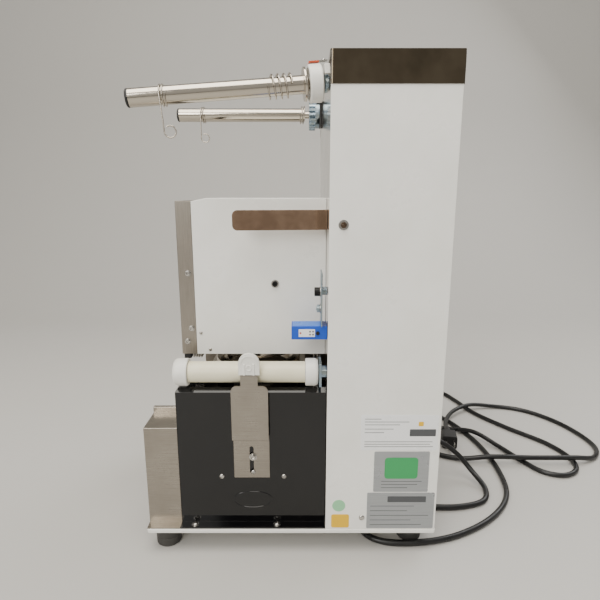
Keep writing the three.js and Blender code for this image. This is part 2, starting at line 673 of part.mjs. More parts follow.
/** The head's cover, its front panel, and the control panel with its keys. */
function buildHead() {
  const coverFront = HEAD_FRONT + HEAD_FLANGE + GAP;
  const coverSection = foldedSheet([
    [HEAD_HALF, HEAD_BOTTOM],
    [HEAD_HALF, HEAD_TOP],
    [-HEAD_HALF, HEAD_TOP],
    [-HEAD_HALF, HEAD_BOTTOM],
  ], PANEL_SHEET);
  const lidFront = HEAD_FRONT + HEAD_FLANGE + LID_SETBACK;
  const lidBottom = HEAD_TOP - GAP;
  const lidOutline = polygon([
    [lidFront, lidBottom],
    [HEAD_BACK, lidBottom],
    [HEAD_BACK, lidBottom + LID_HEIGHT],
    [lidFront + LID_SLOPE, lidBottom + LID_HEIGHT],
  ]);
  const lid = runAlongX(lidOutline, [-HEAD_HALF, HEAD_HALF]);
  addPiece('head_cover', runAlongY(coverSection, [coverFront, HEAD_BACK]).add(lid), WHITE_PAINT);

  const flangeBack = HEAD_FRONT + HEAD_FLANGE;
  const faceSection = foldedSheet([
    [-HEAD_HALF, flangeBack],
    [-HEAD_HALF, HEAD_FRONT],
    [HEAD_HALF, HEAD_FRONT],
    [HEAD_HALF, flangeBack],
  ], PANEL_SHEET);
  const panelMiddle = HEAD_TOP - PANEL_PLATE_DROP - PANEL_PLATE_HEIGHT / 2;
  addPiece('head_front_panel', riseAlongZ(faceSection, [HEAD_BOTTOM, HEAD_TOP]), BRUSHED_STEEL);

  const plateBack = HEAD_FRONT - GAP;
  const plateFront = plateBack - PANEL_PLATE_DEPTH;
  const plateOutline = roundedRectangle(
    [-PANEL_PLATE_WIDTH / 2, PANEL_PLATE_WIDTH / 2],
    [panelMiddle - PANEL_PLATE_HEIGHT / 2, panelMiddle + PANEL_PLATE_HEIGHT / 2],
    BASE_CORNER,
  );
  const wellDepth = [plateFront - GAP, plateBack - BUTTON_WELL_FLOOR];
  const buttonWell = barAlongY(BUTTON_RADIUS + SHAFT_CLEARANCE, wellDepth, 24);
  const rockerWell = block(
    [-ROCKER_WIDTH / 2 - GAP, ROCKER_WIDTH / 2 + GAP],
    wellDepth,
    [-ROCKER_HEIGHT / 2 - GAP, ROCKER_HEIGHT / 2 + GAP],
  );
  const buttonZ = panelMiddle + BUTTON_LIFT;
  addPiece('control_panel', runAlongY(plateOutline, [plateFront, plateBack])
    .subtract(buttonWell.translate([-BUTTON_SPACING, 0, buttonZ]))
    .subtract(buttonWell.translate([0, 0, buttonZ]))
    .subtract(rockerWell.translate([BUTTON_SPACING, 0, buttonZ])), BLACK_GLOSS);

  const buttonBack = plateBack - BUTTON_WELL_FLOOR - BUTTON_STROKE - GAP;
  const button = barAlongY(BUTTON_RADIUS, [buttonBack - BUTTON_DEPTH, buttonBack], 24);
  addPiece('start_button', button.translate([-BUTTON_SPACING, 0, buttonZ]), GREEN_BUTTON);
  addPiece('tray_button', button.translate([0, 0, buttonZ]), WHITE_NYLON);

  const rockerBack = plateBack - BUTTON_WELL_FLOOR - GAP;
  const rockerFront = rockerBack - ROCKER_DEPTH;
  const rocker = runAlongX(polygon([
    [rockerBack, 0],
    [rockerFront - ROCKER_SWING, ROCKER_HEIGHT / 2],
    [rockerFront, 0],
    [rockerFront, -ROCKER_HEIGHT / 2],
  ]), [-ROCKER_WIDTH / 2, ROCKER_WIDTH / 2]);
  addPiece('power_switch', rocker.translate([BUTTON_SPACING, 0, buttonZ]), RED_SWITCH);
}

/** The heated press that seals and cuts the film, with its guide rods and drive. */
function buildPress() {
  const rodAt = (side) => [side * ROD_SPREAD, PRESS_Y + ROD_BACK, 0];
  const ceiling = HEAD_TOP - PANEL_SHEET - GAP;
  const rod = upright(barAlongY(ROD_RADIUS, [HEAD_BOTTOM + ROD_RADIUS, ceiling], 20));
  for (const [sideName, side] of SIDES) {
    addPiece(`press_guide_rod_${sideName}`, rod.translate(rodAt(side)), POLISHED_STEEL);
  }

  const cutterTop = CUTTER_BOTTOM + CUTTER_HEIGHT;
  const cutterBore = CUTTER_RADIUS - CUTTER_WALL;
  const cutter = upright(ringAlongY(CUTTER_RADIUS, cutterBore, [CUTTER_BOTTOM, cutterTop], 40));
  addPiece('cutter_ring', cutter.translate([0, PRESS_Y, 0]), POLISHED_STEEL);

  const heaterTop = cutterTop - HEATER_CLEARANCE - GAP;
  const heaterLimits = [heaterTop - HEATER_HEIGHT, heaterTop];
  const heater = upright(barAlongY(cutterBore - HEATER_CLEARANCE, heaterLimits, 40));
  addPiece('heater_plate', heater.translate([0, PRESS_Y, 0]), ALUMINIUM);

  let carriage = block(
    [-CARRIAGE_HALF_WIDTH, CARRIAGE_HALF_WIDTH],
    [PRESS_Y - CARRIAGE_FRONT, PRESS_Y + CARRIAGE_BACK],
    [CARRIAGE_BOTTOM, CARRIAGE_TOP],
  );
  const post = upright(barAlongY(POST_RADIUS, [heaterTop + GAP, CARRIAGE_TOP], 16));
  const boreLimits = [CARRIAGE_BOTTOM - GAP, CARRIAGE_TOP + GAP];
  const bore = upright(barAlongY(ROD_RADIUS + ROD_CLEARANCE, boreLimits, 20));
  for (const [, side] of SIDES) {
    carriage = carriage
      .add(post.translate([side * POST_SPREAD, PRESS_Y - POST_SPREAD, 0]))
      .add(post.translate([side * POST_SPREAD, PRESS_Y + POST_SPREAD, 0]))
      .subtract(bore.translate(rodAt(side)));
  }
  addPiece('press_carriage', carriage, ALUMINIUM);

  addPiece('press_gearmotor', block(
    [-PRESS_MOTOR_WIDTH / 2, PRESS_MOTOR_WIDTH / 2],
    [PRESS_Y - PRESS_MOTOR_LENGTH / 2, PRESS_Y + PRESS_MOTOR_LENGTH / 2],
    [ceiling - PRESS_MOTOR_HEIGHT, ceiling],
  ), ALUMINIUM);
}

// ---------------------------------------------------------------- lower body

/** The two hollow black housings beside the cup well. */
function buildHousings() {
  const housingBack = TOWER_FRONT - GAP;
  const outline = new THREE.Shape();
  outline.moveTo(HOUSING_FRONT, SEAT);
  outline.lineTo(housingBack, SEAT);
  outline.lineTo(housingBack, HOUSING_TOP);
  outline.lineTo(HOUSING_FRONT + HOUSING_CORNER, HOUSING_TOP);
  outline.absarc(HOUSING_FRONT + HOUSING_CORNER, HOUSING_TOP - HOUSING_CORNER, HOUSING_CORNER,
    Math.PI / 2, Math.PI);
  outline.closePath();
  const body = runAlongX(outline, [HOUSING_INNER, HOUSING_SIDE]);
  const bevelled = runAlongY(polygon([
    [HOUSING_INNER, SEAT],
    [HOUSING_SIDE, SEAT],
    [HOUSING_SIDE, HOUSING_TOP - HOUSING_BEVEL],
    [HOUSING_SIDE - HOUSING_BEVEL, HOUSING_TOP],
    [HOUSING_INNER, HOUSING_TOP],
  ]), [HOUSING_FRONT, housingBack]);
  const hollow = block(
    [HOUSING_INNER + HOUSING_WALL, HOUSING_SIDE - HOUSING_WALL],
    [HOUSING_FRONT + HOUSING_WALL, housingBack - HOUSING_WALL],
    [SEAT - GAP, HOUSING_TOP - HOUSING_BEVEL - HOUSING_WALL],
  );
  const flange = block(
    [HOUSING_SIDE - HOUSING_WALL, HOUSING_SIDE + HOUSING_FLANGE],
    [HOUSING_FRONT, housingBack],
    [SEAT, SEAT + HOUSING_FLANGE_THICKNESS],
  );
  const housing = body.intersect(bevelled).subtract(hollow).add(flange);
  addPiece('side_housing_right', housing, BLACK_GLOSS);
  addPiece('side_housing_left', housing.mirror([1, 0, 0]), BLACK_GLOSS);
}

/** The folded stainless guard: two front cheeks with their feet, and the lining of the cup well. */
function buildCupGuard() {
  const floor = SEAT + WELL_SHEET;
  const cheek = [
    [HOUSING_SIDE + HOUSING_FLANGE, floor],
    [HOUSING_SIDE, floor],
    [HOUSING_SIDE, GUARD_WALL_TOP],
    [WELL_HALF + GUARD_LIP_WIDTH, GUARD_WALL_TOP],
    [WELL_HALF + GUARD_LIP_WIDTH, GUARD_LIP_TOP],
    [WELL_HALF, GUARD_LIP_TOP],
    [WELL_HALF, floor],
  ];
  const mirrored = cheek.map(([x, z]) => [-x, z]).reverse();
  const front = runAlongY(foldedSheet([...cheek, ...mirrored], WELL_SHEET), [FRONT, HOUSING_FRONT - GAP]);
  const lining = runAlongY(foldedSheet([
    [WELL_HALF, LINER_TOP],
    [WELL_HALF, floor],
    [-WELL_HALF, floor],
    [-WELL_HALF, LINER_TOP],
  ], WELL_SHEET), [HOUSING_FRONT - 2 * GAP, FRONT_FACE - GAP]);
  let guard = front.add(lining);
  for (const [, side] of SIDES) {
    guard = guard.add(block(
      across(side, WELL_HALF, HOUSING_SIDE), [FRONT, FRONT + WELL_SHEET], [SEAT, GUARD_WALL_TOP],
    ));
  }
  addPiece('cup_guard', guard, BRUSHED_STEEL);
}

/** The tray that carries the cup in under the press, with its seat ring and its two rails. */
function buildTray() {
  const railOuter = WELL_HALF - GAP;
  for (const [sideName, side] of SIDES) {
    const section = polygon([
      [railOuter - RAIL_WIDTH, RAIL_TOP],
      [railOuter - RAIL_WIDTH, RAIL_TOP - RAIL_LIP],
      [railOuter - RAIL_LIP, RAIL_TOP - RAIL_LIP],
      [railOuter - RAIL_LIP, RAIL_TOP - RAIL_HEIGHT],
      [railOuter, RAIL_TOP - RAIL_HEIGHT],
      [railOuter, RAIL_TOP],
    ].map(([x, z]) => [side * x, z]));
    const rail = runAlongY(section, [HOUSING_FRONT, FRONT_FACE - GAP]);
    addPiece(`tray_rail_${sideName}`, rail, BRUSHED_STEEL);
  }

  const trayHalf = WELL_HALF - TRAY_SIDE_CLEARANCE;
  const plate = roundedRectangle(
    [-trayHalf, trayHalf],
    [PRESS_Y - TRAY_HALF_LENGTH, PRESS_Y + TRAY_HALF_LENGTH],
    BASE_CORNER,
  );
  const trayTop = TRAY_BOTTOM + TRAY_THICKNESS;
  const trayHole = upright(barAlongY(RING_BORE, [TRAY_BOTTOM - GAP, trayTop + GAP], 40));
  const tray = riseAlongZ(plate, [TRAY_BOTTOM, trayTop]).subtract(trayHole.translate([0, PRESS_Y, 0]));
  addPiece('cup_tray', tray, BRUSHED_STEEL);

  const seatFloor = RING_TOP - RING_SEAT_DEPTH;
  const ring = upright(turned([
    [RING_BORE, RING_BOTTOM],
    [RING_RADIUS, RING_BOTTOM],
    [RING_RADIUS, RING_TOP],
    [RING_SEAT_RADIUS, RING_TOP],
    [RING_SEAT_RADIUS, seatFloor],
    [RING_BORE, seatFloor],
    [RING_BORE, RING_BOTTOM],
  ], 40));
  addPiece('cup_ring', ring.translate([0, PRESS_Y, 0]), POLISHED_STEEL);
}

// ---------------------------------------------------------------- film path

/** One guide roller: an axle fixed to the tower, and a tube with its two end caps turning on it. */
function buildRoller(sideName, side, capsAreSeparate) {
  const roller = new THREE.Group();
  roller.position.set(side * ROLLER_X, 0, ROLLER_HEIGHT);
  const bore = AXLE_RADIUS + AXLE_CLEARANCE;
  const capBack = ROLLER_FRONT - GAP;
  const capFront = capBack - FRONT_CAP_LENGTH;
  const boreEnd = capBack - FRONT_CAP_LENGTH / 2;
  const rearFront = ROLLER_BACK + GAP;
  const rearBack = rearFront + REAR_CAP_LENGTH;
  const frontCapOutside = [
    [0, capFront],
    [ROLLER_CAP_RADIUS - CAP_FACE_INSET, capFront],
    [ROLLER_CAP_RADIUS - CAP_NOSE_INSET, capFront + CAP_FACE],
    [ROLLER_CAP_RADIUS, capFront + CAP_NOSE],
    [ROLLER_CAP_RADIUS, capBack],
  ];
  const rearCapOutside = [
    [ROLLER_CAP_RADIUS, rearFront],
    [ROLLER_CAP_RADIUS, rearBack - CAP_FACE_INSET],
    [ROLLER_CAP_RADIUS - CAP_FACE, rearBack],
    [bore, rearBack],
  ];
  const frontBore = [[bore, boreEnd], [0, boreEnd]];
  if (capsAreSeparate) {
    const tube = ringAlongY(ROLLER_RADIUS, bore, [ROLLER_FRONT, ROLLER_BACK]);
    addPiece(`roller_tube_${sideName}`, tube, IVORY_PLASTIC, roller);
    addPiece(`roller_cap_front_${sideName}`,
      turned([...frontCapOutside, [bore, capBack], ...frontBore]), WHITE_NYLON, roller);
    addPiece(`roller_cap_rear_${sideName}`,
      turned([[bore, rearFront], ...rearCapOutside, [bore, rearFront]]), WHITE_NYLON, roller);
  } else {
    const tubeOutside = [[ROLLER_RADIUS, capBack], [ROLLER_RADIUS, rearFront]];
    const outside = [...frontCapOutside, ...tubeOutside, ...rearCapOutside];
    addPiece(`roller_tube_${sideName}`, turned([...outside, ...frontBore]), IVORY_PLASTIC, roller);
  }

  const plateFront = rearBack + AXLE_END_SPACE;
  const nutFront = plateFront + AXLE_PLATE_THICKNESS;
  const plateLimits = [-AXLE_PLATE / 2, AXLE_PLATE / 2];
  const axle = barAlongY(AXLE_RADIUS, [boreEnd + AXLE_END_SPACE, TOWER_FRONT + AXLE_TAIL], 24)
    .add(block(plateLimits, [plateFront, nutFront], plateLimits))
    .add(barAlongY(AXLE_NUT_RADIUS, [nutFront - GAP, FRONT_FACE - GAP], 6));
  addPiece(`roller_axle_${sideName}`, axle, ZINC_PLATE, roller);
  machine.add(roller);
}

/** The slotted bracket on the right housing, with the saddle that steadies the right roller. */
function buildRollerSupport() {
  const lowerFace = HOUSING_SIDE + GAP + BRACKET_SHEET;
  const bend = foldedSheet([
    [lowerFace, BRACKET_BOTTOM],
    [lowerFace, BRACKET_SHELF],
    [BRACKET_FACE, BRACKET_SHELF],
    [BRACKET_FACE, SADDLE_BOTTOM - GAP],
  ], BRACKET_SHEET);
  const half = BRACKET_WIDTH / 2;
  const neck = BRACKET_NECK / 2;
  const outline = new THREE.Shape();
  outline.moveTo(PRESS_Y - half, BRACKET_BOTTOM);
  outline.lineTo(PRESS_Y + half, BRACKET_BOTTOM);
  outline.absarc(PRESS_Y + half - BRACKET_SHOULDER_RADIUS, BRACKET_SHOULDER - BRACKET_SHOULDER_RADIUS,
    BRACKET_SHOULDER_RADIUS, 0, Math.PI / 2);
  outline.lineTo(PRESS_Y + neck, BRACKET_SHOULDER);
  outline.lineTo(PRESS_Y + neck, SADDLE_BOTTOM);
  outline.lineTo(PRESS_Y - neck, SADDLE_BOTTOM);
  outline.lineTo(PRESS_Y - neck, BRACKET_SHOULDER);
  outline.absarc(PRESS_Y - half + BRACKET_SHOULDER_RADIUS, BRACKET_SHOULDER - BRACKET_SHOULDER_RADIUS,
    BRACKET_SHOULDER_RADIUS, Math.PI / 2, Math.PI);
  outline.closePath();
  const slotLimits = [PRESS_Y - SLOT_WIDTH / 2, PRESS_Y + SLOT_WIDTH / 2];
  const slotShape = roundedRectangle(slotLimits, [SLOT_BOTTOM, SLOT_TOP], SLOT_END_RADIUS);
  const slot = runAlongX(slotShape, [HOUSING_SIDE, lowerFace + GAP]);
  const bracket = runAlongY(bend, [PRESS_Y - half, PRESS_Y + half])
    .intersect(runAlongX(outline, [HOUSING_SIDE, HALF_WIDTH]))
    .subtract(slot);
  addPiece('support_bracket', bracket, BRUSHED_STEEL);

  const archRadius = SADDLE_WIDTH / 2;
  const arch = new THREE.Shape();
  arch.moveTo(PRESS_Y - archRadius, SADDLE_BOTTOM);
  arch.lineTo(PRESS_Y + archRadius, SADDLE_BOTTOM);
  arch.absarc(PRESS_Y, SADDLE_TOP - archRadius, archRadius, 0, Math.PI);
  arch.closePath();
  const plateOuter = BRACKET_FACE - SADDLE_RIB;
  let saddle = runAlongX(arch, [plateOuter - SADDLE_THICKNESS, plateOuter], 12);
  for (const offset of [-SADDLE_RIB_SPREAD, SADDLE_RIB_SPREAD]) {
    saddle = saddle.add(block(
      [plateOuter - GAP, BRACKET_FACE],
      [PRESS_Y + offset - SADDLE_RIB_WIDTH / 2, PRESS_Y + offset + SADDLE_RIB_WIDTH / 2],
      [SADDLE_BOTTOM, SADDLE_TOP - archRadius],
    ));
  }
  addPiece('roller_saddle', saddle, WHITE_NYLON);
}

/** The polished plate that leads the film down beside the head. */
function buildFilmGuide() {
  const guide = new THREE.Group();
  guide.position.set(HALF_WIDTH - GUIDE_ROOT_INSET, FRONT_FACE - GAP, GUIDE_BOTTOM);
  const blade = new THREE.Shape();
  blade.moveTo(-GUIDE_SHEET, 0);
  blade.lineTo(-GUIDE_SHEET, GUIDE_HEIGHT);
  const tip = GUIDE_CORNER - GUIDE_LENGTH;
  blade.absarc(tip, GUIDE_HEIGHT - GUIDE_CORNER, GUIDE_CORNER, Math.PI / 2, Math.PI);
  blade.absarc(tip, GUIDE_CORNER, GUIDE_CORNER, Math.PI, Math.PI * 1.5);
  blade.closePath();
  const plate = runAlongX(blade, [0, GUIDE_SHEET]).rotate([0, 0, GUIDE_SPLAY]);
  const tab = block([-GUIDE_TAB, GUIDE_SHEET], [-GUIDE_TAB_SHEET, 0], [0, GUIDE_HEIGHT]);
  addPiece('film_guide_plate', plate.add(tab), POLISHED_STEEL, guide);
  machine.add(guide);
}

/** The print-mark sensor and the stand that holds it on the tower. */
function buildSensor() {
  const back = FRONT_FACE - GAP;
  const sensorTop = SENSOR_BOTTOM + SENSOR_HEIGHT;
  const inner = SENSOR_SIDE - SENSOR_WIDTH;
  const knobY = TOWER_FRONT - SENSOR_KNOB_BACK;
  const knobZ = SENSOR_BOTTOM + SENSOR_HEIGHT / 2;
  const knob = barAlongY(SENSOR_KNOB_RADIUS, [0, SENSOR_KNOB_DEPTH], 20).rotate([0, 0, -90]);
  addPiece('mark_sensor', block(
    [inner, SENSOR_SIDE], [TOWER_FRONT - SENSOR_LENGTH, back], [SENSOR_BOTTOM, sensorTop],
  ), BLUE_PLASTIC);
  addPiece('sensor_knob', knob.translate([SENSOR_SIDE + GAP, knobY, knobZ]), BLACK_PLASTIC);

  const standBack = TOWER_FRONT - STAND_FORWARD + STAND_SHEET;
  const spacer = barAlongY(SPACER_RADIUS, [standBack - GAP, back], 6);
  const stand = block([inner, inner + STAND_WIDTH], [standBack - STAND_SHEET, standBack],
    [sensorTop + GAP, sensorTop + STAND_HEIGHT])
    .add(spacer.translate([inner + STAND_WIDTH / 2, 0, sensorTop + SPACER_LIFT]));
  addPiece('sensor_stand', stand, ZINC_PLATE);
}

// ---------------------------------------------------------------- spindles

/** A spindle along -Y: a thin shaft through the hub space, then a tube open at its free end. */
function spindleSolid(length) {
  const tubeEnd = SPINDLE_END - length;
  const bore = SPINDLE_RADIUS - SPINDLE_WALL;
  return turned([
    [0, -HUB_SPACE - SPINDLE_ROOT],
    [bore, -HUB_SPACE - SPINDLE_ROOT],
    [bore, tubeEnd],
    [SPINDLE_RADIUS, tubeEnd],
    [SPINDLE_RADIUS, -HUB_SPACE],
    [SHAFT_RADIUS, -HUB_SPACE],
    [SHAFT_RADIUS, SHAFT_TAIL],
    [0, SHAFT_TAIL],
  ]);
}

/** The stopper pushed into a spindle's free end. */
function endPlugSolid(length) {
  const tubeEnd = SPINDLE_END - length;
  const stem = SPINDLE_RADIUS - SPINDLE_WALL - GAP;
  return turned([
    [0, -length],
    [SPINDLE_RADIUS - PLUG_EDGE, -length],
    [SPINDLE_RADIUS, PLUG_EDGE - length],
    [SPINDLE_RADIUS, tubeEnd - GAP],
    [stem, tubeEnd - GAP],
    [stem, tubeEnd + PLUG_STEM],
    [0, tubeEnd + PLUG_STEM],
  ]);
}

/** A coil spring round a spindle, from its end nearest the tower. */
function springSolid(start, turns, pitch) {
  const points = [];
  for (let i = 0; i <= turns * SPRING_STEPS; i += 1) {
    const angle = i / SPRING_STEPS * Math.PI * 2;
    const along = -start - i / SPRING_STEPS * pitch;
    points.push(new THREE.Vector3(SPRING_RADIUS * Math.cos(angle), along, SPRING_RADIUS * Math.sin(angle)));
  }
  return wire(new THREE.CatmullRomCurve3(points), WIRE_RADIUS, turns * SPRING_STEPS, WIRE_SIDES);
}

/** A wire clip: turns round the spindle, a tail hanging on its near side, and a finger loop. */
function clipSolid(at, tail) {
  const points = [];
  const count = CLIP_TURNS * CLIP_STEPS;
  for (let i = 0; i <= count; i += 1) {
    const angle = (count - i) / CLIP_STEPS * Math.PI * 2;
    const along = -at - i / CLIP_STEPS * CLIP_PITCH;
    points.push(new THREE.Vector3(CLIP_RADIUS * Math.cos(angle), along, CLIP_RADIUS * Math.sin(angle)));
  }
  const tailY = -at - CLIP_TURNS * CLIP_PITCH;
  points.push(new THREE.Vector3(CLIP_RADIUS, tailY, -tail / 2));
  for (let i = 0; i <= CLIP_LOOP_STEPS; i += 1) {
    const angle = i / CLIP_LOOP_STEPS * degrees(CLIP_LOOP_SWEEP);
    points.push(new THREE.Vector3(
      CLIP_RADIUS,
      tailY + CLIP_LOOP_RADIUS * (1 - Math.cos(angle)),
      -tail - CLIP_LOOP_RADIUS * Math.sin(angle),
    ));
  }
  return wire(new THREE.CatmullRomCurve3(points), CLIP_WIRE, count + 2 * CLIP_LOOP_STEPS, WIRE_SIDES);
}

/** The spindle that carries the new roll, with its brake. It leans outwards and droops a little. */
function buildSupplySpindle() {
  const spindle = new THREE.Group();
  spindle.position.set(SUPPLY_X, TOWER_FRONT, SUPPLY_Z);
  spindle.rotation.set(degrees(SUPPLY_DROOP), 0, degrees(SUPPLY_SPLAY));
  const bore = SHAFT_RADIUS + SHAFT_CLEARANCE;
  const collar = ringAlongY(FLANGE_RADIUS, SPINDLE_RADIUS - GAP, [-FLANGE_FRONT, -FLANGE_BACK]);
  addPiece('supply_spindle', spindleSolid(SUPPLY_LENGTH).add(collar), POLISHED_STEEL, spindle);
  addPiece('supply_end_plug', endPlugSolid(SUPPLY_LENGTH), BLACK_PLASTIC, spindle);
  addPiece('supply_spring',
    springSolid(SUPPLY_SPRING_START, SUPPLY_SPRING_TURNS, SUPPLY_SPRING_PITCH), POLISHED_STEEL, spindle);
  addPiece('supply_brake_wheel', turned([
    [bore, -BRAKE_FRONT],
    [BRAKE_RADIUS - BRAKE_EDGE, -BRAKE_FRONT],
    [BRAKE_RADIUS, BRAKE_EDGE - BRAKE_FRONT],
    [BRAKE_RADIUS, -BRAKE_BACK - BRAKE_EDGE],
    [BRAKE_RADIUS - BRAKE_EDGE, -BRAKE_BACK],
    [bore, -BRAKE_BACK],
    [bore, -BRAKE_FRONT],
  ], 40), WHITE_NYLON, spindle);
  addPiece('supply_bearing', turned([
    [bore, -BEARING_LENGTH],
    [BEARING_RADIUS, -BEARING_LENGTH],
    [BEARING_RADIUS, -BEARING_STEP],
    [BEARING_SLEEVE_RADIUS, -BEARING_STEP],
    [BEARING_SLEEVE_RADIUS, BEARING_LENGTH],
    [bore, BEARING_LENGTH],
    [bore, -BEARING_LENGTH],
  ]), ZINC_PLATE, spindle);
  addPiece('supply_clip', clipSolid(SUPPLY_CLIP_AT, SUPPLY_CLIP_TAIL), POLISHED_STEEL, spindle);

  const padBottom = BRAKE_RADIUS + GAP;
  const padTop = padBottom + BRAKE_PAD_THICKNESS;
  const padLimits = [BRAKE_EDGE - BRAKE_FRONT, -BRAKE_BACK - BRAKE_EDGE];
  const arm = block(
    [-BRAKE_ARM_WIDTH / 2, BRAKE_ARM_WIDTH / 2],
    [padLimits[0], -GAP],
    [padTop - GAP, padTop + BRAKE_ARM_SHEET],
  );
  const pad = block([-BRAKE_PAD_WIDTH / 2, BRAKE_PAD_WIDTH / 2], padLimits, [padBottom, padTop]);
  addPiece('brake_pad', pad.add(arm), ORANGE_FELT, spindle);
  machine.add(spindle);
}

/** The driven spindle that winds up the cut film. */
function buildTakeupSpindle() {
  const spindle = new THREE.Group();
  spindle.position.set(TAKEUP_X, TOWER_FRONT, TAKEUP_Z);
  const bore = SHAFT_RADIUS + SHAFT_CLEARANCE;
  addPiece('takeup_spindle', spindleSolid(TAKEUP_LENGTH), POLISHED_STEEL, spindle);
  addPiece('takeup_end_plug', endPlugSolid(TAKEUP_LENGTH), BLACK_PLASTIC, spindle);
  addPiece('takeup_spring',
    springSolid(TAKEUP_SPRING_START, TAKEUP_SPRING_TURNS, TAKEUP_SPRING_PITCH), POLISHED_STEEL, spindle);
  addPiece('takeup_clip', clipSolid(TAKEUP_CLIP_AT, TAKEUP_CLIP_TAIL), POLISHED_STEEL, spindle);

  const teeth = [];
  const toothSteps = [
    [0, GEAR_ROOT_RADIUS], [TOOTH_ROOT_END, GEAR_ROOT_RADIUS],
    [TOOTH_TIP_START, GEAR_RADIUS], [TOOTH_TIP_END, GEAR_RADIUS],
  ];
  for (let tooth = 0; tooth < GEAR_TEETH; tooth += 1) {
    for (const [share, radius] of toothSteps) {
      const angle = (tooth + share) / GEAR_TEETH * Math.PI * 2;
      teeth.push([radius * Math.cos(angle), radius * Math.sin(angle)]);
    }
  }
  const hub = barAlongY(GEAR_HUB_RADIUS, [-GEAR_BACK - GAP, -GEAR_HUB_BACK]);
  const gearBore = barAlongY(bore, [-GEAR_FRONT - GAP, GEAR_HUB_BACK], 24);
  addPiece('takeup_gear',
    runAlongY(polygon(teeth), [-GEAR_FRONT, -GEAR_BACK]).add(hub).subtract(gearBore), ZINC_PLATE, spindle);

  const half = TAKEUP_PLATE / 2;
  const plate = block([-half, half], [-TAKEUP_PLATE_FRONT, FRONT_SETBACK - GAP], [-half, half])
    .add(barAlongY(BEARING_SLEEVE_RADIUS, [-GAP, BEARING_LENGTH]))
    .subtract(barAlongY(bore, [-BEARING_LENGTH, BEARING_LENGTH + GAP], 24));
  addPiece('takeup_bearing', plate, BLACK_PLASTIC, spindle);
  machine.add(spindle);
}

// ---------------------------------------------------------------- mains cord

/** The cable gland, the mains cord and its plug. */
function buildCord() {
  const exit = CORD_ROUTE[0];
  const glandTip = exit[1] - GAP;
  const flangeBack = REAR_FACE + GAP;
  const bore = CORD_RADIUS + GAP;
  const gland = turned([
    [bore, REAR_FACE - PANEL_SHEET - GLAND_FLANGE],
    [GLAND_THREAD_RADIUS, REAR_FACE - PANEL_SHEET - GLAND_FLANGE],
    [GLAND_THREAD_RADIUS, flangeBack],
    [GLAND_FLANGE_RADIUS, flangeBack],
    [GLAND_FLANGE_RADIUS, flangeBack + GLAND_FLANGE],
    [GLAND_ROOT_RADIUS, flangeBack + GLAND_FLANGE],
    [GLAND_TIP_RADIUS, glandTip],
    [bore, glandTip],
    [bore, REAR_FACE - PANEL_SHEET - GLAND_FLANGE],
  ]);
  addPiece('cable_gland', gland.translate([exit[0], 0, exit[2]]), BLACK_PLASTIC);

  const route = new THREE.CatmullRomCurve3(CORD_ROUTE.map((point) => new THREE.Vector3(...point)));
  const resting = route.getSpacedPoints(CORD_STEPS * 2).map((point) => {
    point.z = Math.max(point.z, CORD_RADIUS);
    return point;
  });
  const path = new THREE.CatmullRomCurve3(resting);
  addPiece('mains_cord', wire(path, CORD_RADIUS, CORD_STEPS, CORD_SIDES), CORD_RUBBER);

  const end = CORD_ROUTE[CORD_ROUTE.length - 1];
  const before = CORD_ROUTE[CORD_ROUTE.length - 2];
  const plug = new THREE.Group();
  plug.position.set(...end);
  plug.rotation.z = Math.atan2(end[1] - before[1], end[0] - before[0]);
  const bodyBack = GAP + PLUG_RELIEF_LENGTH;
  const bodyFront = bodyBack + PLUG_BODY_LENGTH;
  const relief = turned([
    [0, GAP],
    [PLUG_RELIEF_TIP, GAP],
    [PLUG_RELIEF_ROOT, bodyBack + PIN_ROOT],
    [0, bodyBack + PIN_ROOT],
  ], 20).rotate([0, 0, -90]);
  const faceSpan = [-PLUG_BODY_HALF, PLUG_BODY_HALF];
  const body = riseAlongZ(
    roundedRectangle([bodyBack, bodyFront], faceSpan, PLUG_BODY_CORNER),
    [-PLUG_BODY_HALF, PLUG_BODY_HALF - PLUG_TOP_DROP],
  );
  const blade = block(
    [bodyFront - PIN_ROOT, bodyFront + BLADE_LENGTH],
    [-BLADE_THICKNESS / 2, BLADE_THICKNESS / 2],
    [-BLADE_HEIGHT / 2, BLADE_HEIGHT / 2],
  );
  const earthSpan = [bodyFront - PIN_ROOT, bodyFront + BLADE_LENGTH + EARTH_EXTRA];
  const earth = barAlongY(EARTH_RADIUS, earthSpan, 16).rotate([0, 0, -90]);
  addPiece('mains_plug', relief.add(body)
    .add(blade.translate([0, BLADE_SPREAD, BLADE_LIFT]))
    .add(blade.translate([0, -BLADE_SPREAD, BLADE_LIFT]))
    .add(earth.translate([0, 0, BLADE_LIFT - EARTH_DROP])), BLACK_PLASTIC, plug);
  machine.add(plug);
}

// ---------------------------------------------------------------- the machine

buildBase();
buildTower();
buildTowerInsides();
buildHead();
buildPress();
buildHousings();
buildCupGuard();
buildTray();
for (const [sideName, side] of SIDES) buildRoller(sideName, side, side > 0);
buildRollerSupport();
buildFilmGuide();
buildSensor();
buildSupplySpindle();
buildTakeupSpindle();
buildCord();

export default machine;
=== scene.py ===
"""Automatic film cup-sealing machine: its looks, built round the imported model.

Metres throughout. X runs across the machine with its right side at +X, Y runs from its front to its back and
Z is up.
"""

import json
import logging
import math
from dataclasses import dataclass
from enum import Enum
from typing import Any, Iterable, Sequence

import bmesh
import bpy
from mathutils import Matrix, Vector


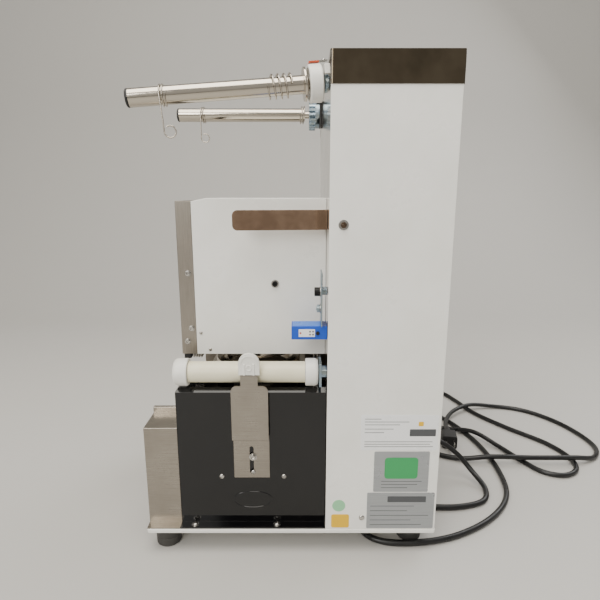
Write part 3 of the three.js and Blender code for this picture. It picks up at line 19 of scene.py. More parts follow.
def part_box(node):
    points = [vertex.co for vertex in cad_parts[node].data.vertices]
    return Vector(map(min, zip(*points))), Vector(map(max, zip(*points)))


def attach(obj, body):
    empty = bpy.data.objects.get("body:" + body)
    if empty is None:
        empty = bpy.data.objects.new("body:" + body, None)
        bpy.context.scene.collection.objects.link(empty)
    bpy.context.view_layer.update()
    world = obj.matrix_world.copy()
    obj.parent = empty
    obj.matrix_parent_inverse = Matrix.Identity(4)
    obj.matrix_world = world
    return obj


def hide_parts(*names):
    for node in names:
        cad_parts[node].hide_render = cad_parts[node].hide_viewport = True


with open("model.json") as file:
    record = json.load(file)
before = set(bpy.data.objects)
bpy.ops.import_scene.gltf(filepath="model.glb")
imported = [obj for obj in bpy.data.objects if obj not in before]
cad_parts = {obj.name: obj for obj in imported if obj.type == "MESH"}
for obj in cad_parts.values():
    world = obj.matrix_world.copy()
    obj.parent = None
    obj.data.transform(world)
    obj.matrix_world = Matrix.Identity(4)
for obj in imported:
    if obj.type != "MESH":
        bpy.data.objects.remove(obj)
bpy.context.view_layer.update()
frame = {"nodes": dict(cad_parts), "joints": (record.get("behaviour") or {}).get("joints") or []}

LOG = logging.getLogger("cup_sealer")
MM = 0.001
# A fold in sheet is an outside edge at least this sharp, in degrees, and this long, between faces this wide.
FOLD_ANGLE = 20
FOLD_LENGTH = 12 * MM
WIDE_FACE = 2.5 * MM
UP = Vector((0, 0, 1))
RIGHT = Vector((1, 0, 0))
FORWARD = Vector((0, -1, 0))
# The machine's two sides: each one's name, its sign along X and the way it looks.
SIDES = (("right", 1, RIGHT), ("left", -1, -RIGHT))
Point = Sequence[float]
JOINTS = {joint["name"]: joint for joint in frame["joints"]}

# The mains cord's route, from the strain relief to the plug, the same points as in the CAD source.
CORD_ROUTE = (
    (-0.04, 0.2123, 0.06), (-0.04, 0.23, 0.059), (-0.038, 0.258, 0.04), (-0.024, 0.28, 0.017),
    (0.004, 0.291, 0.0054), (0.032, 0.279, 0.0042), (0.047, 0.238, 0.0042), (0.044, 0.15, 0.0042),
    (0.046, 0.122, 0.0042), (0.058, 0.1, 0.0042), (0.082, 0.09, 0.0042), (0.107, 0.1, 0.0042),
    (0.119, 0.126, 0.0042), (0.112, 0.2, 0.0042), (0.072, 0.274, 0.0042), (0.02, 0.317, 0.0042),
    (-0.05, 0.332, 0.0042), (-0.13, 0.329, 0.0042), (-0.2, 0.311, 0.0042), (-0.29, 0.268, 0.0042),
    (-0.324, 0.261, 0.0042), (-0.355, 0.274, 0.0042), (-0.368, 0.303, 0.0042),
    (-0.355, 0.332, 0.0042), (-0.32, 0.347, 0.0042), (-0.258, 0.366, 0.0042),
    (-0.195, 0.405, 0.0042), (-0.128, 0.455, 0.0042), (-0.077, 0.468, 0.0042),
    (-0.046, 0.457, 0.0042), (-0.032, 0.43, 0.0042), (-0.042, 0.402, 0.0042),
    (-0.074, 0.383, 0.0042), (-0.118, 0.362, 0.006), (-0.16, 0.33, 0.0128), (-0.185, 0.298, 0.0052),
    (-0.193, 0.264, 0.0042), (-0.176, 0.235, 0.0042), (-0.141, 0.224, 0.0042),
    (-0.104, 0.239, 0.0042), (-0.081, 0.28, 0.0054), (-0.073, 0.33, 0.0128), (-0.07, 0.397, 0.0128),
    (-0.07, 0.468, 0.0128), (-0.084, 0.508, 0.005), (-0.114, 0.53, 0.0042), (-0.156, 0.532, 0.0042),
    (-0.22, 0.512, 0.0042), (-0.27, 0.47, 0.0042), (-0.287, 0.415, 0.0054), (-0.276, 0.362, 0.0128),
    (-0.244, 0.318, 0.0128), (-0.196, 0.29, 0.013), (-0.166, 0.284, 0.014),
)


# ---------------------------------------------------------------- finishes


class Grain(Enum):
    """Which way a surface's marks run: how much they are squeezed along X, Y and Z."""

    EVEN = (1.0, 1.0, 1.0)
    ALONG_X = (0.015, 1.0, 1.0)
    ALONG_Y = (1.0, 0.015, 1.0)
    ALONG_Z = (1.0, 1.0, 0.015)


@dataclass(frozen=True)
class Finish:
    """What a surface is, in typical values for its material.

    Attributes:
        name: the material's common name and how it was made.
        colour: its colour as an sRGB hex value.
        roughness: the middle of its roughness.
        metallic: 1 for bare metal.
        grain: which way its marks run.
        mark: the size of its marks, in metres.
        depth: the height of its marks, in metres.
        shade: how much darker its marks are, 0 to 1.
        gloss_marks: how much its marks change the roughness.
        patch: the size of its hand marks and uneven patches, in metres.
        patches: how much the patches change the roughness.
        tint: a second colour that shows in the patches.
        tint_share: how strongly the second colour shows.
        coat: the weight of a clear layer over it.
        sheen: the weight of a soft fibre sheen.
    """

    name: str
    colour: str
    roughness: float
    metallic: float = 0.0
    grain: Grain = Grain.EVEN
    mark: float = 1.0 * MM
    depth: float = 0.01 * MM
    shade: float = 0.0
    gloss_marks: float = 0.0
    patch: float = 60 * MM
    patches: float = 0.1
    tint: str = ""
    tint_share: float = 0.0
    coat: float = 0.0
    sheen: float = 0.0


# Powder coat is sprayed and baked: a slight orange peel, so reflections waver but stay bright.
WHITE_COAT = Finish("powder_coat_white", "EEEDE8", 0.3, mark=2.2 * MM, depth=0.012 * MM, patches=0.16,
                    tint="E4E3DD", tint_share=0.5, coat=0.25)
# Brushed 304 stainless: fine parallel lines that stretch every highlight across them. The lines are
# drawn about 0.5 mm apart, coarser than the real 0.1 mm, so that they show.
BRUSHED_UPRIGHT = Finish("stainless_brushed_upright", "A39C92", 0.34, 1.0, Grain.ALONG_Z, 0.5 * MM,
                         0.006 * MM, shade=0.2, gloss_marks=0.16, patches=0.18, tint="93897E",
                         tint_share=0.45)
BRUSHED_LEVEL = Finish("stainless_brushed_level", "A39C92", 0.3, 1.0, Grain.ALONG_Y, 0.5 * MM, 0.006 * MM,
                       shade=0.14, gloss_marks=0.16, patches=0.18, tint="8C857B", tint_share=0.4)
# Mirror-polished stainless: clear reflections, broken only by wiping marks.
MIRROR_STEEL = Finish("stainless_polished", "C9C4BD", 0.1, 1.0, Grain.ALONG_Z, 1.2 * MM, 0.0012 * MM,
                      gloss_marks=0.03, patch=35 * MM, patches=0.5)
# The cap and the film guide are the same polished steel. Their dark brown and bronze colours, with darker
# patches, are painted reflection of dark brown surroundings.
STEEL_PAINTED_DARK_REFLECTION = Finish("stainless_polished_painted_dark_reflection", "655B4C", 0.12, 1.0, Grain.ALONG_Y, 1.5 * MM, 0.0015 * MM,
                      gloss_marks=0.04, patch=70 * MM, patches=0.5, tint="484034", tint_share=0.75)
# Painted bronze reflection for the film guide, in its colour and its darker patches.
STEEL_PAINTED_BRONZE_REFLECTION = Finish("stainless_polished_painted_bronze_reflection", "CDAE94", 0.16, 1.0, Grain.ALONG_Y, 1.5 * MM, 0.0015 * MM,
                       gloss_marks=0.04, patch=75 * MM, patches=0.4, tint="7E6553", tint_share=0.7)
# Drawn and polished tube: faint rings from the lathe and the buff.
TUBE_STEEL = Finish("stainless_tube", "BDB5A8", 0.14, 1.0, Grain.ALONG_X, 0.8 * MM, 0.0015 * MM,
                    gloss_marks=0.05, patch=25 * MM, patches=0.35)
SPRING_WIRE = Finish("spring_wire", "BDB5A9", 0.24, 1.0, mark=0.6 * MM, depth=0.004 * MM, shade=0.15,
                     patches=0.3)
# Bright zinc plate: a blue-grey skin, cloudy where the passivation is uneven.
ZINC = Finish("zinc_plate", "93A6B6", 0.32, 1.0, mark=0.7 * MM, depth=0.006 * MM, shade=0.12,
              gloss_marks=0.12, patch=7 * MM, patches=0.4, tint="B4B08A", tint_share=0.35)
SCREW_STEEL = Finish("screw_nickel", "B9B6B1", 0.24, 1.0, mark=0.5 * MM, depth=0.004 * MM, shade=0.1,
                     patch=4 * MM, patches=0.4)
# Steel bolt coloured dark brown all over.
DARK_BOLT = Finish("bolt_dark_brown", "6B5A4C", 0.3, 1.0, mark=0.5 * MM, depth=0.004 * MM, shade=0.15,
                   patch=4 * MM, patches=0.4)
BLACK_SCREW = Finish("screw_black_oxide", "1B1A1A", 0.42, 0.6, mark=0.5 * MM, depth=0.006 * MM,
                     patches=0.3)
CAST_ALLOY = Finish("aluminium_cast", "A9ABAC", 0.5, 1.0, mark=0.9 * MM, depth=0.03 * MM, shade=0.12,
                    patches=0.2)
# High-gloss moulded ABS: almost a mirror, with fine wiping marks and dust.
BLACK_GLOSS = Finish("abs_black_gloss", "08080A", 0.09, mark=0.9 * MM, depth=0.0008 * MM, patch=28 * MM,
                     patches=0.6, tint="0D0C0C", tint_share=0.6)
BLACK_MOULDED = Finish("nylon_black_moulded", "151516", 0.5, mark=0.35 * MM, depth=0.012 * MM,
                       patches=0.15)
FOOT_RUBBER = Finish("rubber_grey", "3B3A38", 0.7, mark=0.6 * MM, depth=0.02 * MM, shade=0.12, patches=0.1,
                     tint="4A4844", tint_share=0.5)
CORD_JACKET = Finish("pvc_jacket_black", "0B0B0C", 0.34, mark=0.9 * MM, depth=0.01 * MM, patch=22 * MM,
                     patches=0.35, tint="1A1A1B", tint_share=0.5)
WHITE_NYLON = Finish("nylon_white", "ECEBE6", 0.38, mark=0.5 * MM, depth=0.01 * MM, shade=0.04, patches=0.2,
                     tint="DEDCD3", tint_share=0.5)
IVORY_ACETAL = Finish("acetal_ivory", "E6E0C6", 0.36, mark=0.9 * MM, depth=0.008 * MM, shade=0.05,
                      patches=0.25, tint="D8D1B2", tint_share=0.6)
BLUE_ABS = Finish("abs_blue", "0E49B8", 0.36, mark=0.4 * MM, depth=0.01 * MM, patches=0.15,
                  tint="1658CC", tint_share=0.5)
PALE_BLUE_ABS = Finish("abs_blue_lid", "2F77DC", 0.3, mark=0.4 * MM, depth=0.008 * MM, patches=0.15)
# Needled felt: matt and fluffy. Its marks are darker where its bump is low, painted shade in its hollows.
FELT = Finish("felt_orange", "CB4E24", 0.95, mark=0.5 * MM, depth=0.09 * MM, shade=0.35, sheen=0.5)
CIRCUIT_BOARD = Finish("circuit_board_green", "1C5637", 0.42, mark=2.5 * MM, depth=0.02 * MM, shade=0.3,
                       coat=0.3)
GREEN_KEY = Finish("key_green", "2C8A48", 0.26, mark=0.6 * MM, depth=0.004 * MM, coat=0.4)
RED_KEY = Finish("key_red", "AE221C", 0.26, mark=0.6 * MM, depth=0.004 * MM, coat=0.4)
PLATE_WHITE = Finish("label_white_vinyl", "ECEDEE", 0.28, mark=0.6 * MM, depth=0.002 * MM, patches=0.15,
                     coat=0.2)
PLATE_SILVER = Finish("label_silver_foil", "A5A8AB", 0.3, 0.55, Grain.ALONG_Y, 0.45 * MM, 0.002 * MM,
                      shade=0.12, patches=0.2)
PRINT_GREY = Finish("label_print_grey", "4B4D50", 0.5, patches=0.1)
STICKER_GREEN = Finish("label_green", "8FC79B", 0.4, mark=0.8 * MM, depth=0.002 * MM, patches=0.15)
BAND_GREEN = Finish("label_band_green", "2F9A57", 0.35, mark=0.8 * MM, depth=0.002 * MM, patches=0.15)
STICKER_YELLOW = Finish("label_yellow", "E2B41E", 0.35, mark=0.8 * MM, depth=0.002 * MM, patches=0.15)
STUDIO_FLOOR = Finish("studio_floor", "BDBBB7", 0.6, mark=6 * MM, depth=0.01 * MM, patches=0.1)


def linear(hex_colour: str) -> tuple[float, float, float, float]:
    """Turns an sRGB hex colour to linear.

    Args:
        hex_colour: six hex digits.

    Returns:
        Red, green, blue and an alpha of 1.
    """
    parts = [int(hex_colour[i:i + 2], 16) / 255 for i in (0, 2, 4)]
    red, green, blue = (c / 12.92 if c <= 0.04045 else ((c + 0.055) / 1.055) ** 2.4 for c in parts)
    return red, green, blue, 1.0


def add_node(tree: bpy.types.NodeTree, kind: str, inputs: dict[Any, Any], **settings: Any) -> bpy.types.Node:
    """Adds a shader node.

    Args:
        tree: the material's node tree.
        kind: the node's type.
        inputs: a value or another node's output for each input, by name or number.
        settings: the node's own properties.

    Returns:
        The new node.
    """
    node = tree.nodes.new(kind)
    for name, value in settings.items():
        setattr(node, name, value)
    for key, value in inputs.items():
        if isinstance(value, bpy.types.NodeSocket):
            tree.links.new(value, node.inputs[key])
        else:
            node.inputs[key].default_value = value
    return node


def material_for(finish: Finish) -> bpy.types.Material:
    """Builds a finish's material once, and gives the same one after that.

    Args:
        finish: the surface.

    Returns:
        Its material.
    """
    known = bpy.data.materials.get(finish.name)
    if known:
        return known
    material = bpy.data.materials.new(finish.name)
    material.use_nodes = True
    tree = material.node_tree
    shader = tree.nodes["Principled BSDF"]
    place = add_node(tree, "ShaderNodeTexCoord", {}).outputs["Object"]
    squeezed = add_node(tree, "ShaderNodeMapping", {"Vector": place, "Scale": finish.grain.value}).outputs[0]
    marks = add_node(tree, "ShaderNodeTexNoise", {
        "Vector": squeezed, "Scale": 1 / finish.mark, "Detail": 3.0, "Roughness": 0.6}).outputs[0]
    patches = add_node(tree, "ShaderNodeTexNoise", {
        "Vector": place, "Scale": 1 / finish.patch, "Detail": 4.0, "Roughness": 0.62}).outputs[0]
    spread = finish.roughness * finish.patches
    rough = add_node(tree, "ShaderNodeMapRange",
                     {"Value": patches, "From Min": 0.3, "From Max": 0.7,
                      "To Min": finish.roughness - spread, "To Max": finish.roughness + spread}).outputs[0]
    if finish.gloss_marks:
        centred = add_node(tree, "ShaderNodeMath", {0: marks, 1: 0.5}, operation="SUBTRACT").outputs[0]
        rough = add_node(tree, "ShaderNodeMath", {0: centred, 1: finish.gloss_marks, 2: rough},
                         operation="MULTIPLY_ADD", use_clamp=True).outputs[0]
    tree.links.new(rough, shader.inputs["Roughness"])
    colour = linear(finish.colour)
    if finish.tint or finish.shade:
        amount = add_node(tree, "ShaderNodeMapRange",
                          {"Value": patches, "From Min": 0.42, "From Max": 0.66,
                           "To Min": 0.0, "To Max": finish.tint_share}).outputs[0]
        tinted = add_node(tree, "ShaderNodeMix",
                          {0: amount, 6: colour, 7: linear(finish.tint or finish.colour)}, data_type="RGBA")
        dark = add_node(tree, "ShaderNodeMapRange",
                        {"Value": marks, "From Min": 0.35, "From Max": 0.65,
                         "To Min": 1 - finish.shade, "To Max": 1.0}).outputs[0]
        shaded = add_node(tree, "ShaderNodeVectorMath", {0: tinted.outputs[2], 3: dark}, operation="SCALE")
        tree.links.new(shaded.outputs[0], shader.inputs["Base Color"])
    else:
        shader.inputs["Base Color"].default_value = colour
    bump = add_node(tree, "ShaderNodeBump", {"Height": marks, "Strength": 1.0, "Distance": finish.depth})
    tree.links.new(bump.outputs[0], shader.inputs["Normal"])
    shader.inputs["Metallic"].default_value = finish.metallic
    shader.inputs["Coat Weight"].default_value = finish.coat
    shader.inputs["Coat Roughness"].default_value = 0.08
    shader.inputs["Sheen Weight"].default_value = finish.sheen
    return material


# ---------------------------------------------------------------- making shapes


def turned(profile: Sequence[tuple[float, float]], steps: int = 72) -> bmesh.types.BMesh:
    """Turns a profile about Z.

    Args:
        profile: (radius, height) points, from the axis to the axis, or closed on itself.
        steps: flats round the piece.

    Returns:
        The closed shape.
    """
    bm = bmesh.new()
    rim = [bm.verts.new((radius, 0, height)) for radius, height in profile]
    line = [bm.edges.new(pair) for pair in zip(rim, rim[1:])]
    bmesh.ops.spin(bm, geom=rim + line, cent=(0, 0, 0), axis=(0, 0, 1), angle=math.tau, steps=steps,
                   use_merge=True)
    bmesh.ops.remove_doubles(bm, verts=bm.verts, dist=1e-6)
    bmesh.ops.recalc_face_normals(bm, faces=bm.faces)
    return bm


def cuboid(low: Point, high: Point) -> bmesh.types.BMesh:
    """A block between two corners."""
    bm = bmesh.new()
    size = Vector(high) - Vector(low)
    middle = (Vector(high) + Vector(low)) / 2
    bmesh.ops.create_cube(bm, size=1, matrix=Matrix.LocRotScale(middle, None, size))
    return bm


def disc(radius: float, height: float, steps: int = 48) -> bmesh.types.BMesh:
    """A flat round piece standing on the XY plane."""
    return turned([(0, 0), (radius, 0), (radius, height), (0, height)], steps)


def sleeve(bore: float, radius: float, low: float, high: float, steps: int) -> bmesh.types.BMesh:
    """A plain ring or tube round Z, from one height to another."""
    return turned([(bore, low), (radius, low), (radius, high), (bore, high), (bore, low)], steps)


def soften(bm: bmesh.types.BMesh, width: float, segments: int = 2, angle: float = 30) -> bmesh.types.BMesh:
    """Bevels every edge that is sharper than an angle in degrees, and gives the shape back."""
    edges = [e for e in bm.edges if len(e.link_faces) == 2 and e.calc_face_angle(0) > math.radians(angle)]
    bmesh.ops.bevel(bm, geom=edges, offset=width, affect="EDGES", segments=segments, profile=0.5, material=-1,
                    clamp_overlap=True)
    bmesh.ops.dissolve_degenerate(bm, dist=2e-6, edges=bm.edges)
    return bm


def moved(bm: bmesh.types.BMesh, matrix: Matrix) -> bmesh.types.BMesh:
    """Moves a shape by a matrix, and gives it back."""
    bmesh.ops.transform(bm, matrix=matrix, verts=bm.verts)
    return bm


def joined(shapes: Iterable[bmesh.types.BMesh]) -> bmesh.types.BMesh:
    """Puts several closed shapes into one piece."""
    whole = bmesh.new()
    for shape in shapes:
        mesh = bpy.data.meshes.new("part")
        shape.to_mesh(mesh)
        shape.free()
        whole.from_mesh(mesh)
        bpy.data.meshes.remove(mesh)
    return whole


def copied(shape: bmesh.types.BMesh, matrices: Iterable[Matrix]) -> bmesh.types.BMesh:
    """Copies of a shape, one at each matrix, as one piece."""
    return joined([moved(shape.copy(), matrix) for matrix in matrices])


def placed(x: float, y: float, z: float) -> Matrix:
    """A frame at a point, turned as the machine is."""
    return Matrix.Translation((x, y, z))


def facing(at: Point, out: Vector, roll: float = 0.0) -> Matrix:
    """A frame at a point whose Z looks out along a direction, rolled about it by some degrees."""
    turn = out.to_track_quat("Z", "Y").to_matrix().to_4x4()
    return Matrix.Translation(Vector(at)) @ turn @ Matrix.Rotation(math.radians(roll), 4, "Z")


def narrow_side(face: bmesh.types.BMFace) -> float:
    """How narrow a face is: twice its area over its outline."""
    return 2 * face.calc_area() / face.calc_perimeter()


def from_node(name: str, edge: float, segments: int = 2, fold: float = 0.0) -> bmesh.types.BMesh:
    """A CAD piece's own shape with its flats made whole, its folds bent round and its edges rounded.

    Args:
        name: the CAD node.
        edge: the width of its rounded edges, in metres.
        segments: the steps in each rounded edge.
        fold: the width of the bend where two wide faces of its outside meet, or 0 for none.

    Returns:
        The finer shape.
    """
    bm = bmesh.new()
    bm.from_mesh(frame["nodes"][name].data)
    bmesh.ops.remove_doubles(bm, verts=bm.verts, dist=2e-6)
    bmesh.ops.dissolve_limit(bm, angle_limit=math.radians(0.6), verts=bm.verts, edges=bm.edges)
    bmesh.ops.connect_verts_concave(bm, faces=bm.faces)
    if fold:
        bends = [e for e in bm.edges
                 if len(e.link_faces) == 2 and e.is_convex and e.calc_face_angle(0) > math.radians(FOLD_ANGLE)
                 and e.calc_length() > FOLD_LENGTH and min(map(narrow_side, e.link_faces)) > WIDE_FACE]
        bmesh.ops.bevel(bm, geom=bends, offset=fold, affect="EDGES", segments=4, profile=0.5, material=-1,
                        clamp_overlap=True)
        bmesh.ops.dissolve_degenerate(bm, dist=5e-6, edges=bm.edges)
    return soften(bm, edge, segments)


def piece(name: str, bm: bmesh.types.BMesh, finish: Finish, body: str, stands_for: Sequence[str] = ()) -> bpy.types.Object:
    """Makes a shape a dressed piece that rides on a body.

    Args:
        name: the piece's name.
        bm: its shape, in place.
        finish: its surface.
        body: the CAD body it moves with.
        stands_for: the CAD nodes it takes the place of.

    Returns:
        The new object.
    """
    mesh = bpy.data.meshes.new(name)
    bm.to_mesh(mesh)
    bm.free()
    mesh.polygons.foreach_set("use_smooth", [True] * len(mesh.polygons))
    mesh.set_sharp_from_angle(angle=math.radians(38))
    made = bpy.data.objects.new(name, mesh)
    bpy.context.scene.collection.objects.link(made)
    even = made.modifiers.new("even_shading", "WEIGHTED_NORMAL")
    even.keep_sharp = True
    return settle(made, finish, body, stands_for)


def settle(made: bpy.types.Object, finish: Finish, body: str, stands_for: Sequence[str]) -> bpy.types.Object:
    """Dresses an object and fixes it to its body. Takes what piece() takes, and gives the object back."""
    made.data.materials.clear()
    made.data.materials.append(material_for(finish))
    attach(made, body)
    if stands_for:
        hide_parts(*stands_for)
    LOG.info("%s: %s on %s", made.name, finish.name, body)
    return made


def refined(name: str, finish: Finish, body: str = "machine", edge: float = 0.4 * MM, segments: int = 2,
            fold: float = 0.0) -> bpy.types.Object:
    """Stands a finer copy of a CAD node in its place, with rounded edges.

    Takes what from_node() and piece() take, and gives the new object.
    """
    return piece(f"{name}_fine", from_node(name, edge, segments, fold), finish, body, [name])


def wire(name: str, points: Sequence[Point], radius: float) -> bmesh.types.BMesh:
    """A round wire along points, as a closed shape."""
    line = bpy.data.curves.new(name, "CURVE")
    line.dimensions = "3D"
    line.bevel_depth = radius
    line.bevel_resolution = 3
    line.use_fill_caps = True
    spline = line.splines.new("POLY")
    spline.points.add(len(points) - 1)
    for spot, point in zip(spline.points, points):
        spot.co = (*point, 1)
    holder = bpy.data.objects.new(name, line)
    bpy.context.scene.collection.objects.link(holder)
    bpy.context.view_layer.update()
    mesh = bpy.data.meshes.new_from_object(holder.evaluated_get(bpy.context.evaluated_depsgraph_get()))
    bpy.data.objects.remove(holder)
    bpy.data.curves.remove(line)
    bm = bmesh.new()
    bm.from_mesh(mesh)
    bpy.data.meshes.remove(mesh)
    bmesh.ops.remove_doubles(bm, verts=bm.verts, dist=1e-6)
    bmesh.ops.recalc_face_normals(bm, faces=bm.faces)
    return bm


def cut(shape: bmesh.types.BMesh, tool: bmesh.types.BMesh) -> bmesh.types.BMesh:
    """Cuts one shape out of another, and gives back what is left."""
    holders = []
    for label, source in (("shape", shape), ("tool", tool)):
        mesh = bpy.data.meshes.new(label)
        source.to_mesh(mesh)
        source.free()
        holder = bpy.data.objects.new(label, mesh)
        bpy.context.scene.collection.objects.link(holder)
        holders.append(holder)
    trim = holders[0].modifiers.new("trim", "BOOLEAN")
    trim.operation = "DIFFERENCE"
    trim.solver = "EXACT"
    trim.object = holders[1]
    bpy.context.view_layer.update()
    left = bpy.data.meshes.new_from_object(holders[0].evaluated_get(bpy.context.evaluated_depsgraph_get()))
    bm = bmesh.new()
    bm.from_mesh(left)
    bpy.data.meshes.remove(left)
    for holder in holders:
        mesh = holder.data
        bpy.data.objects.remove(holder)
        bpy.data.meshes.remove(mesh)
    return bm


# ---------------------------------------------------------------- fasteners


class Drive(Enum):
    """How a fastener is turned."""

    HEX = "hex"
    CROSS = "cross"
    SOCKET = "socket"


@dataclass(frozen=True)
class Fastener:
    """A screw, bolt or nut as it is seen from outside, standing on the XY plane.

    Attributes:
        drive: how it is turned.
        radius: its head's radius, or half its width across corners.
        height: its head's height.
        washer: its washer's radius, or 0 for none.
        washer_height: its washer's thickness.
    """

    drive: Drive
    radius: float
    height: float
    washer: float = 0.0
    washer_height: float = 0.8 * MM

    def head(self) -> bmesh.types.BMesh:
        """The head's shape, above its washer."""
        base = self.washer_height if self.washer else 0.0
        r, h = self.radius, self.height
        if self.drive is Drive.HEX:
            body = soften(disc(r, h, 6), 0.3 * MM)
            thread = soften(disc(r * 0.45, h * 1.25, 24), 0.25 * MM)
            shape = joined([body, thread])
        elif self.drive is Drive.SOCKET:
            recess = moved(disc(r * 0.52, h, 6), placed(0, 0, h * 0.4))
            shape = cut(soften(disc(r, h, 40), 0.35 * MM), recess)
        else:
            dome = [(0, h), (r * 0.4, h * 0.96), (r * 0.72, h * 0.8), (r * 0.93, h * 0.48), (r, h * 0.18),
                    (r, 0), (0, 0)]
            arm, width, deep = r * 0.62, r * 0.13, h * 0.45
            slots = [cuboid((-arm, -width, deep), (arm, width, h * 1.2)),
                     cuboid((-width, -arm, deep), (width, arm, h * 1.2))]
            shape = turned(dome, 40)
            for slot in slots:
                shape = cut(shape, slot)
        return moved(shape, placed(0, 0, base))

    def build(self, name: str, finish: Finish, places: Sequence[Matrix], body: str = "machine",
              slot: str = "zinc") -> None:
        """Sets one such fastener at each place.

        Args:
            name: the name of the piece that holds them all.
            finish: their surface.
            places: a frame for each, whose Z looks out of the surface it sits on.
            body: the CAD body they move with.
            slot: the record's material slot; not used.
        """
        piece(name, copied(self.head(), places), finish, body)
        if self.washer:
            ring = soften(sleeve(self.radius * 0.5, self.washer, 0, self.washer_height, 40), 0.15 * MM)
            piece(f"{name}_washer", copied(ring, places), SCREW_STEEL, body)


def on_side(side: int, out: float, y: float, z: float, roll: float = 0.0) -> Matrix:
    """A frame on a face that looks to one side, at a place in millimetres.

    Args:
        side: 1 for the machine's right side, -1 for its left.
        out: how far the face is from the machine's middle.
        y: the place along the machine.
        z: its height.
        roll: how far the frame is rolled, in degrees.

    Returns:
        The frame, whose Z looks out of the face.
    """
    return facing((side * out * MM, y * MM, z * MM), side * RIGHT, roll)


# ---------------------------------------------------------------- base


@dataclass
class Base:
    """The white sheet base and its four rubber feet."""

    groove_height: float = 10 * MM
    groove_depth: float = 0.7 * MM
    edge: float = 1.0 * MM
    screw_recess: float = 6 * MM
    taper: float = 1.5 * MM

    def build(self) -> None:
        """Builds the base plate and the feet."""
        refined("base_plate", WHITE_COAT, edge=0.8 * MM, segments=3)
        for end in ("front", "rear"):
            for side in ("right", "left"):
                self.foot(f"foot_{end}_{side}")

    def foot(self, node: str) -> None:
        """Builds one foot: a tapered rubber bush with a moulded groove and a recess for its screw."""
        low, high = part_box(node)
        middle = (low + high) / 2
        top = (high.x - low.x) / 2
        floor = top - self.taper
        groove, deep, edge, height = self.groove_height, self.groove_depth, self.edge, high.z
        profile = [
            (0, 2 * edge), (self.screw_recess, 2 * edge), (self.screw_recess, 0), (floor - edge, 0),
            (floor, edge),
            (floor + 0.3 * MM, groove), (floor + 0.3 * MM - deep, groove + edge),
            (floor + 0.4 * MM - deep, groove + 2 * edge), (floor + 0.6 * MM, groove + 3 * edge),
            (top, height - edge), (top - edge, height), (0, height),
        ]
        shape = soften(turned(profile, 64), 0.25 * MM, 2, 25)
        piece(f"{node}_rubber", moved(shape, placed(middle.x, middle.y, 0)), FOOT_RUBBER, "machine", [node])


# ---------------------------------------------------------------- tower


@dataclass
class Plate:
    """A printed plate or sticker on the tower's right side, in millimetres.

    Attributes:
        name: the piece's name.
        finish: its surface.
        y: its front and rear edges.
        z: its lower and upper edges.
        corner: its corners' radius.
        rules: plain grey rules in place of print: each one's start and end as shares of the plate's width,
            its height as a share of the plate's, and its thickness.
        thickness: the plate's thickness.
        rule_thickness: the thickness of the grey print.
    """

    name: str
    finish: Finish
    y: tuple[float, float]
    z: tuple[float, float]
    corner: float = 1.0
    rules: tuple[tuple[float, float, float, float], ...] = ()
    thickness: float = 0.25
    rule_thickness: float = 0.05

    def build(self, face: float, level: float = 0.0) -> None:
        """Builds the plate on a face, in metres from the middle, raised by a level in millimetres."""
        start = face + level * MM
        top = start + self.thickness * MM
        (front, rear), (bottom, crest) = self.y, self.z
        shape = cuboid((start, front * MM, bottom * MM), (top, rear * MM, crest * MM))
        half = 0.5 * self.thickness * MM
        upright = [e for e in shape.edges if abs((e.verts[0].co - e.verts[1].co).x) > half]
        bmesh.ops.bevel(shape, geom=upright, offset=self.corner * MM, affect="EDGES", segments=5, profile=0.5,
                        material=-1)
        piece(self.name, soften(shape, 0.06 * MM, 1, 60), self.finish, "machine")
        if not self.rules:
            return
        width, height = rear - front, crest - bottom
        print_top = top + self.rule_thickness * MM
        lines = []
        for begin, end, up, thick in self.rules:
            z = bottom + up * height
            lines.append(cuboid((top, (front + begin * width) * MM, z * MM),
                                (print_top, (front + end * width) * MM, (z + thick) * MM)))
        piece(f"{self.name}_rules", joined(lines), PRINT_GREY, "machine")


def even_rules(count: int, top: float, bottom: float, ends: Sequence[float], start: float = 0.05,
               thick: float = 0.7) -> tuple[tuple[float, float, float, float], ...]:
    """Evenly spaced plain rules from top to bottom, whose right ends follow a short repeating list."""
    step = (top - bottom) / max(count - 1, 1)
    return tuple((start, ends[i % len(ends)], top - i * step, thick) for i in range(count))


